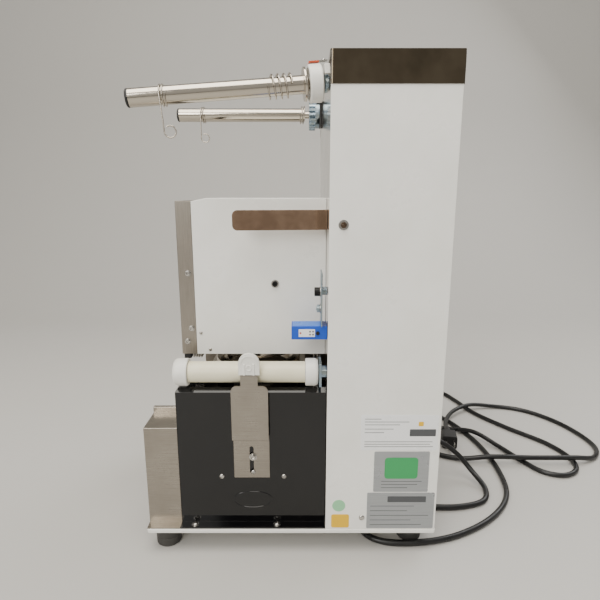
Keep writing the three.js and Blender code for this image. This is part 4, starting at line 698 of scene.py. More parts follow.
@dataclass
class Tower:
    """The tower's panels and cap, with what is fixed to them.

    Attributes:
        plates: the plates and stickers on the right side.
        patches: the coloured fields on those plates.
        sticker_radius: the round sticker's radius.
        sticker_place: the round sticker's place, along and up the side, in millimetres.
        bolt_place: the top bolt's place on each side.
        screw_place: the low screw's place on each side.
        rear_screws: how far out the rear panel's screws are, and their heights.
    """

    plates: tuple[Plate, ...] = (
        Plate("rating_plate", PLATE_WHITE, (83, 175), (140.5, 186), 1.5,
              even_rules(3, 0.88, 0.72, (0.26, 0.62, 0.5)) + even_rules(2, 0.6, 0.5, (0.42, 0.3))
              + even_rules(3, 0.24, 0.1, (0.93, 0.9, 0.94))),
        Plate("safety_plate", PLATE_SILVER, (100, 166.5), (85, 139), 1.5,
              even_rules(3, 0.26, 0.1, (0.88, 0.8, 0.62), 0.14)),
        Plate("listing_plate", PLATE_SILVER, (93, 175.5), (34.5, 84), 1.5,
              even_rules(5, 0.62, 0.1, (0.7, 0.6, 0.92, 0.66, 0.82))),
        Plate("yellow_sticker", STICKER_YELLOW, (49.5, 71.5), (35.5, 54), 2.5),
    )
    patches: tuple[Plate, ...] = (
        Plate("safety_plate_band", BAND_GREEN, (113, 153), (103, 131), 4),
        Plate("rating_plate_field", PRINT_GREY, (141, 172), (159, 168), 0.8),
        Plate("rating_plate_spot", STICKER_YELLOW, (151, 157), (172, 177.5), 1),
        Plate("listing_plate_field", PRINT_GREY, (118, 165), (71, 79), 0.8),
    )
    sticker_radius: float = 8 * MM
    sticker_place: tuple[float, float] = (58.6, 66)
    bolt_place: tuple[float, float] = (58, 407)
    screw_place: tuple[float, float] = (87, 49.5)
    rear_screws: tuple[float, tuple[float, ...]] = (118, (60, 300, 530))

    def build(self) -> None:
        """Builds the tower."""
        for side in ("right", "left"):
            refined(f"tower_panel_{side}", WHITE_COAT, edge=0.3 * MM, fold=0.8 * MM)
        refined("tower_front_panel", MIRROR_STEEL, edge=0.3 * MM, fold=1.0 * MM)
        refined("tower_rear_panel", WHITE_COAT, edge=0.25 * MM)
        # The cap's dark brown colour is painted reflection.
        refined("tower_top_cap", STEEL_PAINTED_DARK_REFLECTION, edge=0.2 * MM, fold=0.4 * MM)
        refined("takeup_gearmotor", CAST_ALLOY, edge=1.0 * MM)
        refined("power_supply", CAST_ALLOY, edge=0.8 * MM)
        refined("control_board", CIRCUIT_BOARD, edge=0.2 * MM)
        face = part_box("tower_panel_right")[1].x
        for plate in self.plates:
            plate.build(face)
        for patch in self.patches:
            patch.build(face, patch.thickness)
        spot = soften(disc(self.sticker_radius, 0.25 * MM), 0.06 * MM, 1, 60)
        piece("green_sticker", moved(spot, on_side(1, face / MM, *self.sticker_place)), STICKER_GREEN,
              "machine")
        self.fasteners(face / MM)

    def fasteners(self, face: float) -> None:
        """Sets the screws of the side and rear panels. face is the side panels' place in millimetres."""
        bolt = Fastener(Drive.HEX, 3.6 * MM, 2.4 * MM, 5.6 * MM)
        cross = Fastener(Drive.CROSS, 3.6 * MM, 2.0 * MM)
        for name, fastener, finish, place, rolls in (
                ("bolt", bolt, DARK_BOLT, self.bolt_place, (12, 20)),
                ("screw", cross, SCREW_STEEL, self.screw_place, (25, 40))):
            for (label, side, _), roll in zip(SIDES, rolls):
                fastener.build(f"tower_{name}_{label}", finish, [on_side(side, face, *place, roll)])
        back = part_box("tower_rear_panel")[1].y
        out, heights = self.rear_screws
        rear = [facing((x * MM, back, z * MM), -FORWARD, x + z) for x in (-out, out) for z in heights]
        cross.build("rear_screws", SCREW_STEEL, rear)


# ---------------------------------------------------------------- head


@dataclass
class HeadUnit:
    """The sealing head: its covers, controls and the press inside.

    Attributes:
        flange_screws: the front flange's screws, along and up each side, in millimetres.
        small_screws: the small screws' places.
        dark_screw: the black screw's place.
        catch: two corners of the catch under the front corner.
        rib_places: the front of each rib behind the catch, in millimetres.
        rib: a rib's size across the machine, along it and up.
        rib_corner: how far out and how high a rib's lower inner corner is.
        stay_places: where the two stays at the back stand, in millimetres.
        stay: a stay's radius and length.
        key_ring: the radius of the ring round a key.
        ring_height: that ring's height.
        ring_gap: the gap between a key and its ring.
        lamp_radius: a lamp's radius.
        lamp_drop: how far the lamps are below the panel's top.
        lamps: each lamp's name, its place across the panel in millimetres and its finish.
        rocker_rim: the width of the rocker's frame.
        rocker_clear: the gap beside the rocker.
        rocker_swing: the gap above and below it, which its ends need when it tilts.
        cutter_wall: the cutter ring's thickness.
    """

    flange_screws: tuple[tuple[float, float], ...] = ((-126.9, 344.6), (-125.4, 274.4), (-131.2, 257.3))
    small_screws: tuple[tuple[float, float], ...] = ((-114.2, 268.5), (-103.2, 246.5))
    dark_screw: tuple[float, float] = (-19.9, 331.5)
    catch: tuple[Point, Point] = ((52 * MM, -137.5 * MM, 233.5 * MM), (66.5 * MM, -128.5 * MM, 240.4 * MM))
    rib_places: tuple[float, ...] = (-126.5, -123.3, -120.1, -116.9)
    rib: Point = (12.5 * MM, 2.2 * MM, 5.9 * MM)
    rib_corner: tuple[float, float] = (53 * MM, 234.5 * MM)
    stay_places: tuple[Point, ...] = ((62.5, 29, 224.5), (62.5, 33.5, 224.5))
    stay: tuple[float, float] = (1.1 * MM, 16 * MM)
    key_ring: float = 9.4 * MM
    ring_height: float = 1.2 * MM
    ring_gap: float = 0.6 * MM
    lamp_radius: float = 2.4 * MM
    lamp_drop: float = 14 * MM
    lamps: tuple[tuple[str, float, Finish], ...] = (("ready", -26, GREEN_KEY), ("heat", 0, RED_KEY))
    rocker_rim: float = 2 * MM
    rocker_clear: float = 0.6 * MM
    rocker_swing: float = 1.6 * MM
    cutter_wall: float = 5 * MM

    def build(self) -> None:
        """Builds the head."""
        refined("head_cover", WHITE_COAT, edge=0.3 * MM, fold=0.8 * MM)
        refined("head_front_panel", BRUSHED_UPRIGHT, edge=0.3 * MM, fold=0.8 * MM)
        self.side_hardware()
        self.controls()
        self.press()

    def side_hardware(self) -> None:
        """Sets the screws on the head's sides and the small fixings under its front corner."""
        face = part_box("head_cover")[1].x / MM
        socket = Fastener(Drive.SOCKET, 3.1 * MM, 2.2 * MM, 3.9 * MM, 0.6 * MM)
        small = Fastener(Drive.CROSS, 2.2 * MM, 1.5 * MM)
        black = Fastener(Drive.SOCKET, 3.4 * MM, 3.0 * MM, 5.0 * MM, 0.8 * MM)
        for label, side, _ in SIDES:
            socket.build(f"flange_screws_{label}", SCREW_STEEL,
                         [on_side(side, face, *spot, 10 * i) for i, spot in enumerate(self.flange_screws)])
            small.build(f"small_screws_{label}", SCREW_STEEL,
                        [on_side(side, face, *spot, 35 * i) for i, spot in enumerate(self.small_screws)])
            black.build(f"head_screw_{label}", BLACK_SCREW, [on_side(side, face, *self.dark_screw, 15)],
                        slot="black_plastic")
        piece("corner_catch", soften(cuboid(*self.catch), 0.8 * MM, 3), BLACK_MOULDED, "machine")
        (wide, deep, high), (x, z) = self.rib, self.rib_corner
        ribs = [soften(cuboid((x, y * MM, z), (x + wide, y * MM + deep, z + high)), 0.5 * MM)
                for y in self.rib_places]
        piece("corner_ribs", joined(ribs), SCREW_STEEL, "machine")
        stays = [placed(x * MM, y * MM, z * MM) for x, y, z in self.stay_places]
        piece("rear_stay_rods", copied(soften(disc(*self.stay, 20), 0.3 * MM), stays), SCREW_STEEL, "machine")

    def controls(self) -> None:
        """Builds the control panel, its two keys, its rocker switch and its lamps."""
        refined("control_panel", BLACK_GLOSS, edge=0.5 * MM, segments=3)
        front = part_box("control_panel")[0].y
        for node, finish, body in (("start_button", GREEN_KEY, "start_key"),
                                   ("tray_button", WHITE_NYLON, "tray_key")):
            low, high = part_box(node)
            radius, depth = (high.x - low.x) / 2, high.y - low.y
            middle = ((low.x + high.x) / 2, high.y, (low.z + high.z) / 2)
            dome = [(0, 0), (radius, 0), (radius, depth * 0.82), (radius * 0.9, depth * 0.96),
                    (radius * 0.78, depth), (radius * 0.72, depth * 0.93), (0, depth * 0.86)]
            key = soften(turned(dome, 64), 0.2 * MM, 2, 25)
            piece(f"{node}_cap", moved(key, facing(middle, FORWARD)), finish, body, [node])
            inner, outer, top, slope = radius + self.ring_gap, self.key_ring, self.ring_height, 0.5 * MM
            ring = [(inner, 0), (outer, 0), (outer, top - slope), (outer - slope, top), (inner, top),
                    (inner, 0)]
            seat = facing((middle[0], front, middle[2]), FORWARD)
            piece(f"{node}_ring", moved(turned(ring, 64), seat), SCREW_STEEL, "machine")
        refined("power_switch", RED_KEY, "power_rocker", 0.5 * MM, 3)
        low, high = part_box("power_switch")
        gap = Vector((self.rocker_clear, 0, self.rocker_swing))
        rim, through = Vector((self.rocker_rim, 0, self.rocker_rim)), Vector((0, 3 * MM, 0))
        low.y = high.y = front
        outer = cuboid(low - gap - rim - Vector((0, self.ring_height, 0)), high + gap + rim)
        hole = cuboid(low - gap - through, high + gap + through)
        piece("power_switch_frame", soften(cut(outer, hole), 0.3 * MM), BLACK_MOULDED, "machine")
        lamp = [(0, 1.6 * MM), (1.2 * MM, 1.5 * MM), (2.0 * MM, 1.0 * MM), (self.lamp_radius, 0.2 * MM),
                (self.lamp_radius, 0), (0, 0)]
        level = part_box("control_panel")[1].z - self.lamp_drop
        for label, x, finish in self.lamps:
            piece(f"{label}_lamp", moved(turned(lamp, 40), facing((x * MM, front, level), FORWARD)), finish,
                  "machine")

    def press(self) -> None:
        """Builds the press that seals and cuts the film, with its rods and drive."""
        for side, _, _ in SIDES:
            low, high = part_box(f"press_guide_rod_{side}")
            radius = (high.x - low.x) / 2
            rod = soften(disc(radius, high.z - low.z, 48), 0.5 * MM)
            middle = ((low.x + high.x) / 2, (low.y + high.y) / 2, low.z)
            piece(f"press_guide_rod_{side}_ground", moved(rod, placed(*middle)), TUBE_STEEL, "machine",
                  [f"press_guide_rod_{side}"])
        low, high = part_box("cutter_ring")
        outer, height = (high.x - low.x) / 2, high.z - low.z
        middle = Vector(((low.x + high.x) / 2, (low.y + high.y) / 2, low.z))
        wall = self.cutter_wall
        ring = [(outer - wall, 0.6 * MM), (outer - 0.5 * wall, 0), (outer, 4 * MM), (outer, height),
                (outer - wall, height), (outer - wall, 0.6 * MM)]
        piece("cutter_ring_ground", moved(soften(turned(ring, 96), 0.2 * MM, 1), placed(*middle)),
              TUBE_STEEL, "seal_press", ["cutter_ring"])
        low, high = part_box("heater_plate")
        radius, height = (high.x - low.x) / 2, high.z - low.z
        face = [(0, 1.5 * MM), (radius - 10 * MM, 1.5 * MM), (radius - 9 * MM, 0), (radius - 3 * MM, 0),
                (radius - 2 * MM, 1.5 * MM), (radius, 2.5 * MM), (radius, height), (0, height)]
        plate = moved(soften(turned(face, 96), 0.3 * MM), placed(middle.x, middle.y, low.z))
        piece("heater_plate_cast", plate, CAST_ALLOY, "seal_press", ["heater_plate"])
        refined("press_carriage", CAST_ALLOY, "seal_press", 0.6 * MM)
        refined("press_gearmotor", CAST_ALLOY, edge=2 * MM, segments=3)


# ---------------------------------------------------------------- lower body


@dataclass
class LowerBody:
    """The black housings, the folded guard and the tray that the cup rides in.

    Attributes:
        oval: the half length and half height of the plain oval on each housing.
        oval_lift: how far the oval's rim stands out.
        oval_place: the oval's place, along and up the side.
        side_screws: the housing's screws, along and up the side, in millimetres.
        flange_screws: the flange's screws, along the side.
        flange_place: how far out the flange's screws are, and the flange's top.
        housing_face: how far out a housing's face is.
        cup_bore: the radius of the hole that the cup hangs in.
        cup_seat: the radius of the step that its rim rests on.
    """

    oval: tuple[float, float] = (25 * MM, 11.5 * MM)
    oval_lift: float = 0.6 * MM
    oval_place: tuple[float, float] = (-47.8 * MM, 66.5 * MM)
    side_screws: tuple[tuple[float, float], ...] = ((-85.6, 98.5), (-8.8, 98.5))
    flange_screws: tuple[float, float] = (-120, -17.9)
    flange_place: tuple[float, float] = (125.5, 35.3)
    housing_face: float = 119.5
    cup_bore: float = 44 * MM
    cup_seat: float = 49 * MM

    def build(self) -> None:
        """Builds the lower body."""
        button = Fastener(Drive.CROSS, 3.2 * MM, 1.9 * MM)
        pan = Fastener(Drive.CROSS, 3.4 * MM, 2.2 * MM, 4.6 * MM, 0.6 * MM)
        for label, side, out in SIDES:
            refined(f"side_housing_{label}", BLACK_GLOSS, edge=0.7 * MM, segments=3)
            self.badge(f"housing_oval_{label}", side * self.housing_face * MM, out)
            button.build(f"housing_screws_{label}", SCREW_STEEL,
                         [on_side(side, self.housing_face, y, z, y) for y, z in self.side_screws])
            x, z = self.flange_place
            pan.build(f"housing_flange_screws_{label}", SCREW_STEEL,
                      [facing((side * x * MM, y * MM, z * MM), UP, y) for y in self.flange_screws])
        refined("cup_guard", BRUSHED_LEVEL, edge=0.25 * MM, fold=0.6 * MM)
        for label, _, _ in SIDES:
            refined(f"tray_rail_{label}", BRUSHED_LEVEL, edge=0.3 * MM)
        refined("cup_tray", BRUSHED_LEVEL, "cup_drawer", 0.5 * MM)
        low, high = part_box("cup_ring")
        radius, height = (high.x - low.x) / 2, high.z - low.z
        bore, seat, step = self.cup_bore, self.cup_seat, height - 3 * MM
        profile = [(bore, 0), (radius, 0), (radius, height - MM), (radius - MM, height), (seat, height),
                   (seat, step), (bore, step), (bore, 0)]
        place = placed((low.x + high.x) / 2, (low.y + high.y) / 2, low.z)
        piece("cup_ring_turned", moved(soften(turned(profile, 96), 0.4 * MM), place), TUBE_STEEL,
              "cup_drawer", ["cup_ring"])

    def badge(self, name: str, face: float, out: Vector) -> None:
        """Builds a plain raised oval rim on a housing's side."""
        lift = self.oval_lift
        floor = 0.4 * lift
        ring = [(1, 0), (1, 0.6 * lift), (0.98, lift), (0.94, lift), (0.92, floor), (0, floor), (0, 0)]
        shape = moved(turned(ring, 96), Matrix.Diagonal((*self.oval, 1, 1)))
        place = facing((face, *self.oval_place), out)
        lengthwise = (place.to_3x3().inverted() @ FORWARD).to_2d()
        roll = Matrix.Rotation(math.atan2(lengthwise.y, lengthwise.x), 4, "Z")
        piece(name, moved(shape, place @ roll), BLACK_GLOSS, "machine")


# ---------------------------------------------------------------- film path


@dataclass
class FilmPath:
    """The guide rollers, the saddle and its bracket, the film guide and the print-mark sensor.

    Attributes:
        cap_radius: a roller cap's radius.
        tube_radius: a roller tube's radius.
        tube_ends: the tube's back and front ends, from its joint.
        bore: the radius of the bore for the axle.
        gap: the gap between the tube and each cap.
        front_cap: the front cap's length.
        rear_cap: the rear cap's length.
        bracket_face: how far out the bracket's face is, in millimetres.
        slot_screw: the screw in the bracket's slot, along and up the side.
        low_screw: the screw under it.
        label_inset: how far the sensor's label is from its front end, and from its edges.
        label_skin: the label's thickness.
        stand_face: the face of the stand that its knob and its nut sit on.
        knob_height: the stand knob's height.
        nut_height: the stand nut's height.
    """

    cap_radius: float = 16.25 * MM
    tube_radius: float = 12.5 * MM
    tube_ends: tuple[float, float] = (-17 * MM, 121 * MM)
    bore: float = 4.4 * MM
    gap: float = 0.3 * MM
    front_cap: float = 17 * MM
    rear_cap: float = 15 * MM
    bracket_face: float = 121.3
    slot_screw: tuple[float, float] = (-46.4, 126)
    low_screw: tuple[float, float] = (-46.4, 105.5)
    label_inset: tuple[float, float] = (8.5 * MM, 3.4 * MM)
    label_skin: float = 0.4 * MM
    stand_face: float = 35 * MM
    knob_height: float = 329 * MM
    nut_height: float = 309 * MM

    def build(self) -> None:
        """Builds the film path."""
        for side in ("right", "left"):
            self.roller(side)
        refined("support_bracket", BRUSHED_LEVEL, edge=0.35 * MM, fold=1.0 * MM)
        self.bracket_screws()
        refined("roller_saddle", WHITE_NYLON, edge=0.5 * MM, segments=3)
        self.saddle_mould()
        # The film guide's bronze colour is painted reflection.
        refined("film_guide_plate", STEEL_PAINTED_BRONZE_REFLECTION, edge=0.5 * MM)
        self.sensor()

    def roller(self, side: str) -> None:
        """Builds one roller with its caps and its axle, right or left."""
        body = f"{side}_roller"
        place = facing(Vector(JOINTS[f"{side}_roller_spin"]["pos_m"]), FORWARD)
        back, front = self.tube_ends
        tube = soften(sleeve(self.bore, self.tube_radius, back, front, 96), 0.4 * MM)
        piece(f"roller_tube_{side}_drawn", moved(tube, place), IVORY_ACETAL, body, [f"roller_tube_{side}"])
        r, lip, bore = self.cap_radius, 0.6 * MM, self.bore
        start = front + self.gap
        end, socket = start + self.front_cap, start + 8 * MM
        nose = [(0, end), (r * 0.42, end), (r * 0.46, end - lip), (r * 0.62, end - lip), (r * 0.66, end),
                (r - 3.6 * MM, end), (r - 1.6 * MM, end - 1.2 * MM), (r - 0.5 * MM, end - 3.2 * MM),
                (r, end - 6 * MM), (r, start + 1.2 * MM), (r - 0.7 * MM, start), (bore, start),
                (bore, socket), (0, socket)]
        tail = back - self.gap
        end = tail - self.rear_cap
        rear = [(bore, tail), (r - 0.7 * MM, tail), (r, tail - 0.9 * MM), (r, end + 4 * MM),
                (r - 0.8 * MM, end + 1.6 * MM), (r - 2.4 * MM, end), (bore, end), (bore, tail)]
        for label, profile in (("front", nose), ("rear", rear)):
            nodes = [f"roller_cap_{label}_{side}"] if side == "right" else []
            cap = moved(soften(turned(profile, 96), 0.3 * MM, 2, 40), place)
            piece(f"roller_cap_{label}_{side}_moulded", cap, WHITE_NYLON, body, nodes)
        refined(f"roller_axle_{side}", ZINC, edge=0.4 * MM)

    def saddle_mould(self) -> None:
        """Builds the moulded arch and the screw boss on the saddle's outer face."""
        low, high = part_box("roller_saddle")
        face, middle = high.x - 1.2 * MM, (low.y + high.y) / 2
        crown = (high.y - low.y) / 2
        centre = (face, middle, high.z - crown)
        rim = soften(sleeve(crown - 3.6 * MM, crown - 2.2 * MM, 0, 0.9 * MM, 64), 0.3 * MM)
        half = moved(rim, facing(centre, RIGHT))
        below = [v for v in half.verts if v.co.z < centre[2] - 0.1 * MM]
        bmesh.ops.delete(half, geom=below, context="VERTS")
        bmesh.ops.holes_fill(half, edges=[e for e in half.edges if e.is_boundary])
        piece("saddle_arch", half, WHITE_NYLON, "machine")
        boss = [(0, 0.3 * MM), (2.2 * MM, 0.3 * MM), (2.6 * MM, 1.0 * MM), (3.6 * MM, 1.0 * MM),
                (4.0 * MM, 0.5 * MM), (4.0 * MM, 0), (0, 0)]
        seat = facing((face, middle, high.z - crown - 5 * MM), RIGHT)
        piece("saddle_boss", moved(soften(turned(boss, 48), 0.15 * MM), seat), WHITE_NYLON, "machine")

    def bracket_screws(self) -> None:
        """Sets the two screws of the saddle's bracket."""
        socket = Fastener(Drive.SOCKET, 3.4 * MM, 2.6 * MM, 4.8 * MM, 0.7 * MM)
        socket.build("bracket_slot_screw", SCREW_STEEL, [on_side(1, self.bracket_face, *self.slot_screw, 10)])
        cross = Fastener(Drive.CROSS, 3.0 * MM, 1.8 * MM)
        cross.build("bracket_low_screw", SCREW_STEEL, [on_side(1, self.bracket_face, *self.low_screw, 30)])

    def sensor(self) -> None:
        """Builds the print-mark sensor with its lid, its window plate and its knob, and its stand."""
        refined("mark_sensor", BLUE_ABS, edge=0.7 * MM, segments=3)
        low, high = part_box("mark_sensor")
        k_low, k_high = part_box("sensor_knob")
        inset, border = self.label_inset
        face = high.x + self.label_skin
        plate = cuboid((high.x, low.y + inset, low.z + border), (face, k_low.y - 0.8 * MM, high.z - border))
        piece("sensor_plate", soften(plate, 0.15 * MM, 1), PLATE_WHITE, "machine")
        dots = [facing((face, k_low.y - y * MM, low.z + z * MM), RIGHT)
                for y in (6.6, 3.1) for z in (6.2, 9.8)]
        piece("sensor_dots", copied(disc(0.95 * MM, 0.2 * MM, 24), dots), BLACK_MOULDED, "machine")
        mark = facing((face, low.y + 10.6 * MM, low.z + 8 * MM), RIGHT)
        piece("sensor_mark", moved(disc(1.1 * MM, 0.2 * MM, 24), mark), RED_KEY, "machine")
        lid = cuboid((low.x + 1.5 * MM, low.y + 1.5 * MM, high.z - 0.1 * MM),
                     (high.x - 1.5 * MM, high.y - 8 * MM, high.z + 0.25 * MM))
        piece("sensor_lid", soften(lid, 0.1 * MM, 1), PALE_BLUE_ABS, "machine")
        radius, depth = (k_high.y - k_low.y) / 2, k_high.x - k_low.x
        dial = cut(soften(disc(radius, depth, 40), 0.25 * MM),
                   cuboid((-0.3 * MM, -radius, depth * 0.55), (0.3 * MM, radius, depth * 1.5)))
        seat = facing((k_low.x, (k_low.y + k_high.y) / 2, (k_low.z + k_high.z) / 2), RIGHT)
        piece("sensor_knob_slotted", moved(dial, seat), BLACK_MOULDED, "sensor_dial", ["sensor_knob"])
        self.stand()

    def stand(self) -> None:
        """Builds the sensor's stand with its knob and its nut."""
        refined("sensor_stand", ZINC, edge=0.35 * MM)
        low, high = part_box("sensor_stand")
        middle = (low.x + high.x) / 2
        knob = Fastener(Drive.SOCKET, 5.2 * MM, 6.5 * MM, 6.2 * MM, 0.8 * MM)
        nut = Fastener(Drive.HEX, 5.0 * MM, 3.6 * MM, 5.6 * MM, 0.7 * MM)
        front = self.stand_face
        knob.build("stand_knob", BLACK_SCREW, [facing((middle, front, self.knob_height), FORWARD, 8)],
                   slot="black_plastic")
        nut.build("stand_nut", ZINC, [facing((middle, front, self.nut_height), FORWARD, 20)])


# ---------------------------------------------------------------- film spindles


@dataclass
class Spindle:
    """A film spindle in its own frame: Z runs out from the tower and Y is up.

    Attributes:
        label: supply or takeup.
        length: from the tower's face to the end of its plug.
        spring: its spring's start, turns and pitch.
        clip: its clip's place and the length of the clip's tail.
        collar: the bearing collar's radius, start and end, or none.
        radius: the tube's radius.
        wall: the tube's thickness.
        shaft: the radius of the shaft that the tube turns on.
        hub_space: from the tower's face to the tube's start.
        root: the solid part at the tube's start.
        tail: how far the shaft reaches into the tower.
        plug_lip: the thickness of the end plug's lip.
        plug_stem: how far the end plug reaches into the tube.
        spring_radius: from the middle to the middle of the spring's wire.
        spring_wire: the spring wire's radius.
        clip_radius: from the middle to the middle of the clip's wire.
        clip_wire: the clip wire's radius.
        clip_loop: the finger loop's radius.
        clip_turns: how often the clip goes round the tube, and how far it moves on each time.
        turn_steps: the steps in one turn of a wire.
    """

    label: str
    length: float
    spring: tuple[float, int, float]
    clip: tuple[float, float]
    collar: tuple[float, ...] = ()
    radius: float = 9.5 * MM
    wall: float = 1.8 * MM
    shaft: float = 5 * MM
    hub_space: float = 24.2 * MM
    root: float = 6 * MM
    tail: float = 14 * MM
    plug_lip: float = 3 * MM
    plug_stem: float = 10 * MM
    spring_radius: float = 12.1 * MM
    spring_wire: float = 0.9 * MM
    clip_radius: float = 10.8 * MM
    clip_wire: float = 0.8 * MM
    clip_loop: float = 6 * MM
    clip_turns: tuple[int, float] = (2, 2.8 * MM)
    turn_steps: int = 36

    def frame(self) -> Matrix:
        """The spindle's own frame, from its joint."""
        joint = JOINTS[f"{self.label}_spin"]
        out = Vector(joint["axis"])
        droop = Matrix.Rotation(math.atan2(-out.z, -out.y), 4, "X")
        splay = Matrix.Rotation(math.asin(out.x), 4, "Z")
        return placed(*joint["pos_m"]) @ droop @ splay @ Matrix.Rotation(math.pi / 2, 4, "X")

    def build(self) -> None:
        """Builds the spindle, its end plug, its spring and its clip."""
        place, reel = self.frame(), f"{self.label}_reel"
        r, tip, hub = self.radius, self.length, self.hub_space
        end = tip - self.plug_lip
        bore = r - self.wall
        tube = [(0, hub + self.root), (bore, hub + self.root), (bore, end), (r, end), (r, hub),
                (self.shaft, hub), (self.shaft, -self.tail), (0, -self.tail)]
        shape = soften(turned(tube, 96), 0.3 * MM)
        if self.collar:
            collar = soften(sleeve(r - 0.3 * MM, *self.collar, 96), 0.3 * MM)
            shape = joined([shape, collar])
        piece(f"{self.label}_spindle_tube", moved(shape, place), TUBE_STEEL, reel, [f"{self.label}_spindle"])
        stem, root = bore - 0.3 * MM, end - self.plug_stem
        plug = [(0, tip - 0.5 * MM), (r * 0.55, tip - 0.5 * MM), (r * 0.62, tip), (r - 1.2 * MM, tip),
                (r, tip - 1.0 * MM), (r, end + 0.3 * MM), (stem, end + 0.3 * MM), (stem, root), (0, root)]
        piece(f"{self.label}_end_plug_moulded", moved(soften(turned(plug, 80), 0.25 * MM, 2, 25), place),
              BLACK_MOULDED, reel, [f"{self.label}_end_plug"])
        piece(f"{self.label}_spring_wire", moved(self.coil(), place), SPRING_WIRE, reel,
              [f"{self.label}_spring"])
        piece(f"{self.label}_clip_wire", moved(self.wire_clip(), place), SPRING_WIRE, f"{self.label}_stop",
              [f"{self.label}_clip"])

    def winding(self, radius: float, start: float, turns: int, pitch: float, way: int = 1) -> list[Point]:
        """Points on a wire that winds out round the tube; way is 1 or -1 for its hand. It ends at angle 0."""
        count = turns * self.turn_steps
        steps = [(i, math.tau * (i if way > 0 else count - i) / self.turn_steps) for i in range(count + 1)]
        return [(radius * math.cos(angle), radius * math.sin(angle), start + pitch * i / self.turn_steps)
                for i, angle in steps]

    def coil(self) -> bmesh.types.BMesh:
        """The spring round the hub end of the tube."""
        return wire("spring", self.winding(self.spring_radius, *self.spring), self.spring_wire)

    def wire_clip(self) -> bmesh.types.BMesh:
        """The clip that stops the roll: a few turns, a hanging tail and a finger loop."""
        (at, tail), (turns, pitch) = self.clip, self.clip_turns
        r, loop, loop_angle = self.clip_radius, self.clip_loop, math.radians(300)
        tail_steps, loop_steps = 8, 20
        points = self.winding(r, at, turns, pitch, -1)
        out = at + turns * pitch
        points += [(r, -tail * i / tail_steps, out) for i in range(1, tail_steps)]
        for i in range(loop_steps + 1):
            angle = loop_angle * i / loop_steps
            points.append((r, -tail - loop * math.sin(angle), out - loop * (1 - math.cos(angle))))
        return wire("clip", points, self.clip_wire)


@dataclass
class SupplyHub:
    """The brake and the bearing at the root of the supply spindle.

    Attributes:
        wheel_radius: the brake wheel's radius.
        wheel_front: from the tower's face to the wheel's front.
        wheel_back: from the tower's face to the wheel's back.
        bore: the radius of the bore for the shaft.
        bearing_radius: the radius of the bearing's flange.
        bearing_neck: the radius of its neck, which sits in the tower's panel.
        bearing_reach: how far it reaches to each side of the panel's face.
        gap: the gap round the wheel, and over the tower's face.
        pad: the brake pad's half width and thickness.
        arm: the brake arm's half width and thickness.
        bolt_place: from the tower's face to the arm's bolt.
        guide: two corners of the block beside the arm.
    """

    wheel_radius: float = 19.5 * MM
    wheel_front: float = 22.8 * MM
    wheel_back: float = 8.5 * MM
    bore: float = 5.4 * MM
    bearing_radius: float = 10 * MM
    bearing_neck: float = 7 * MM
    bearing_reach: float = 6.5 * MM
    gap: float = 0.3 * MM
    pad: tuple[float, float] = (6 * MM, 2 * MM)
    arm: tuple[float, float] = (4 * MM, 0.6 * MM)
    bolt_place: float = 4 * MM
    guide: tuple[Point, Point] = ((8 * MM, 6 * MM, 0.3 * MM), (15 * MM, 16 * MM, 6.2 * MM))

    def build(self, place: Matrix) -> None:
        """Builds the hub in the spindle's frame."""
        r, front, back, bore = self.wheel_radius, self.wheel_front, self.wheel_back, self.bore
        dish = front - 2.5 * MM
        wheel = [(bore, front - MM), (r * 0.34, front - MM), (r * 0.38, dish), (r * 0.78, dish),
                 (r * 0.83, front), (r - 1.2 * MM, front), (r, front - 1.2 * MM), (r, back + 1.2 * MM),
                 (r - 1.2 * MM, back), (bore, back), (bore, front - MM)]
        piece("supply_brake_wheel_turned", moved(soften(turned(wheel, 96), 0.35 * MM, 2, 25), place),
              WHITE_NYLON, "supply_reel", ["supply_brake_wheel"])
        flange, neck, reach = self.bearing_radius, self.bearing_neck, self.bearing_reach
        bearing = [(bore, reach), (flange - 2 * MM, reach), (flange, reach - MM), (flange, 2 * MM),
                   (neck, 2 * MM), (neck, -reach), (bore, -reach), (bore, reach)]
        piece("supply_bearing_turned", moved(soften(turned(bearing, 64), 0.25 * MM), place), ZINC, "machine",
              ["supply_bearing"])
        (pad_half, pad_thick), (arm_half, arm_thick) = self.pad, self.arm
        low = r + self.gap
        high = low + pad_thick
        top = high + arm_thick
        pad = cuboid((-pad_half, low, back + 1.5 * MM), (pad_half, high, front - 1.5 * MM))
        piece("brake_pad_felt", moved(soften(pad, 0.5 * MM, 3), place), FELT, "machine", ["brake_pad"])
        arm = soften(cuboid((-arm_half, high, self.gap), (arm_half, top, front - 3 * MM)), 0.15 * MM)
        piece("brake_arm", moved(arm, place), SCREW_STEEL, "machine")
        guide = soften(cuboid(*self.guide), 0.8 * MM, 3)
        piece("brake_guide_block", moved(guide, place), WHITE_NYLON, "machine")
        bolt = Fastener(Drive.HEX, 2.6 * MM, 1.5 * MM)
        upright = Matrix.Rotation(-math.pi / 2, 4, "X")
        bolt.build("brake_arm_bolt", SCREW_STEEL, [place @ placed(0, top, self.bolt_place) @ upright])


# ---------------------------------------------------------------- mains lead


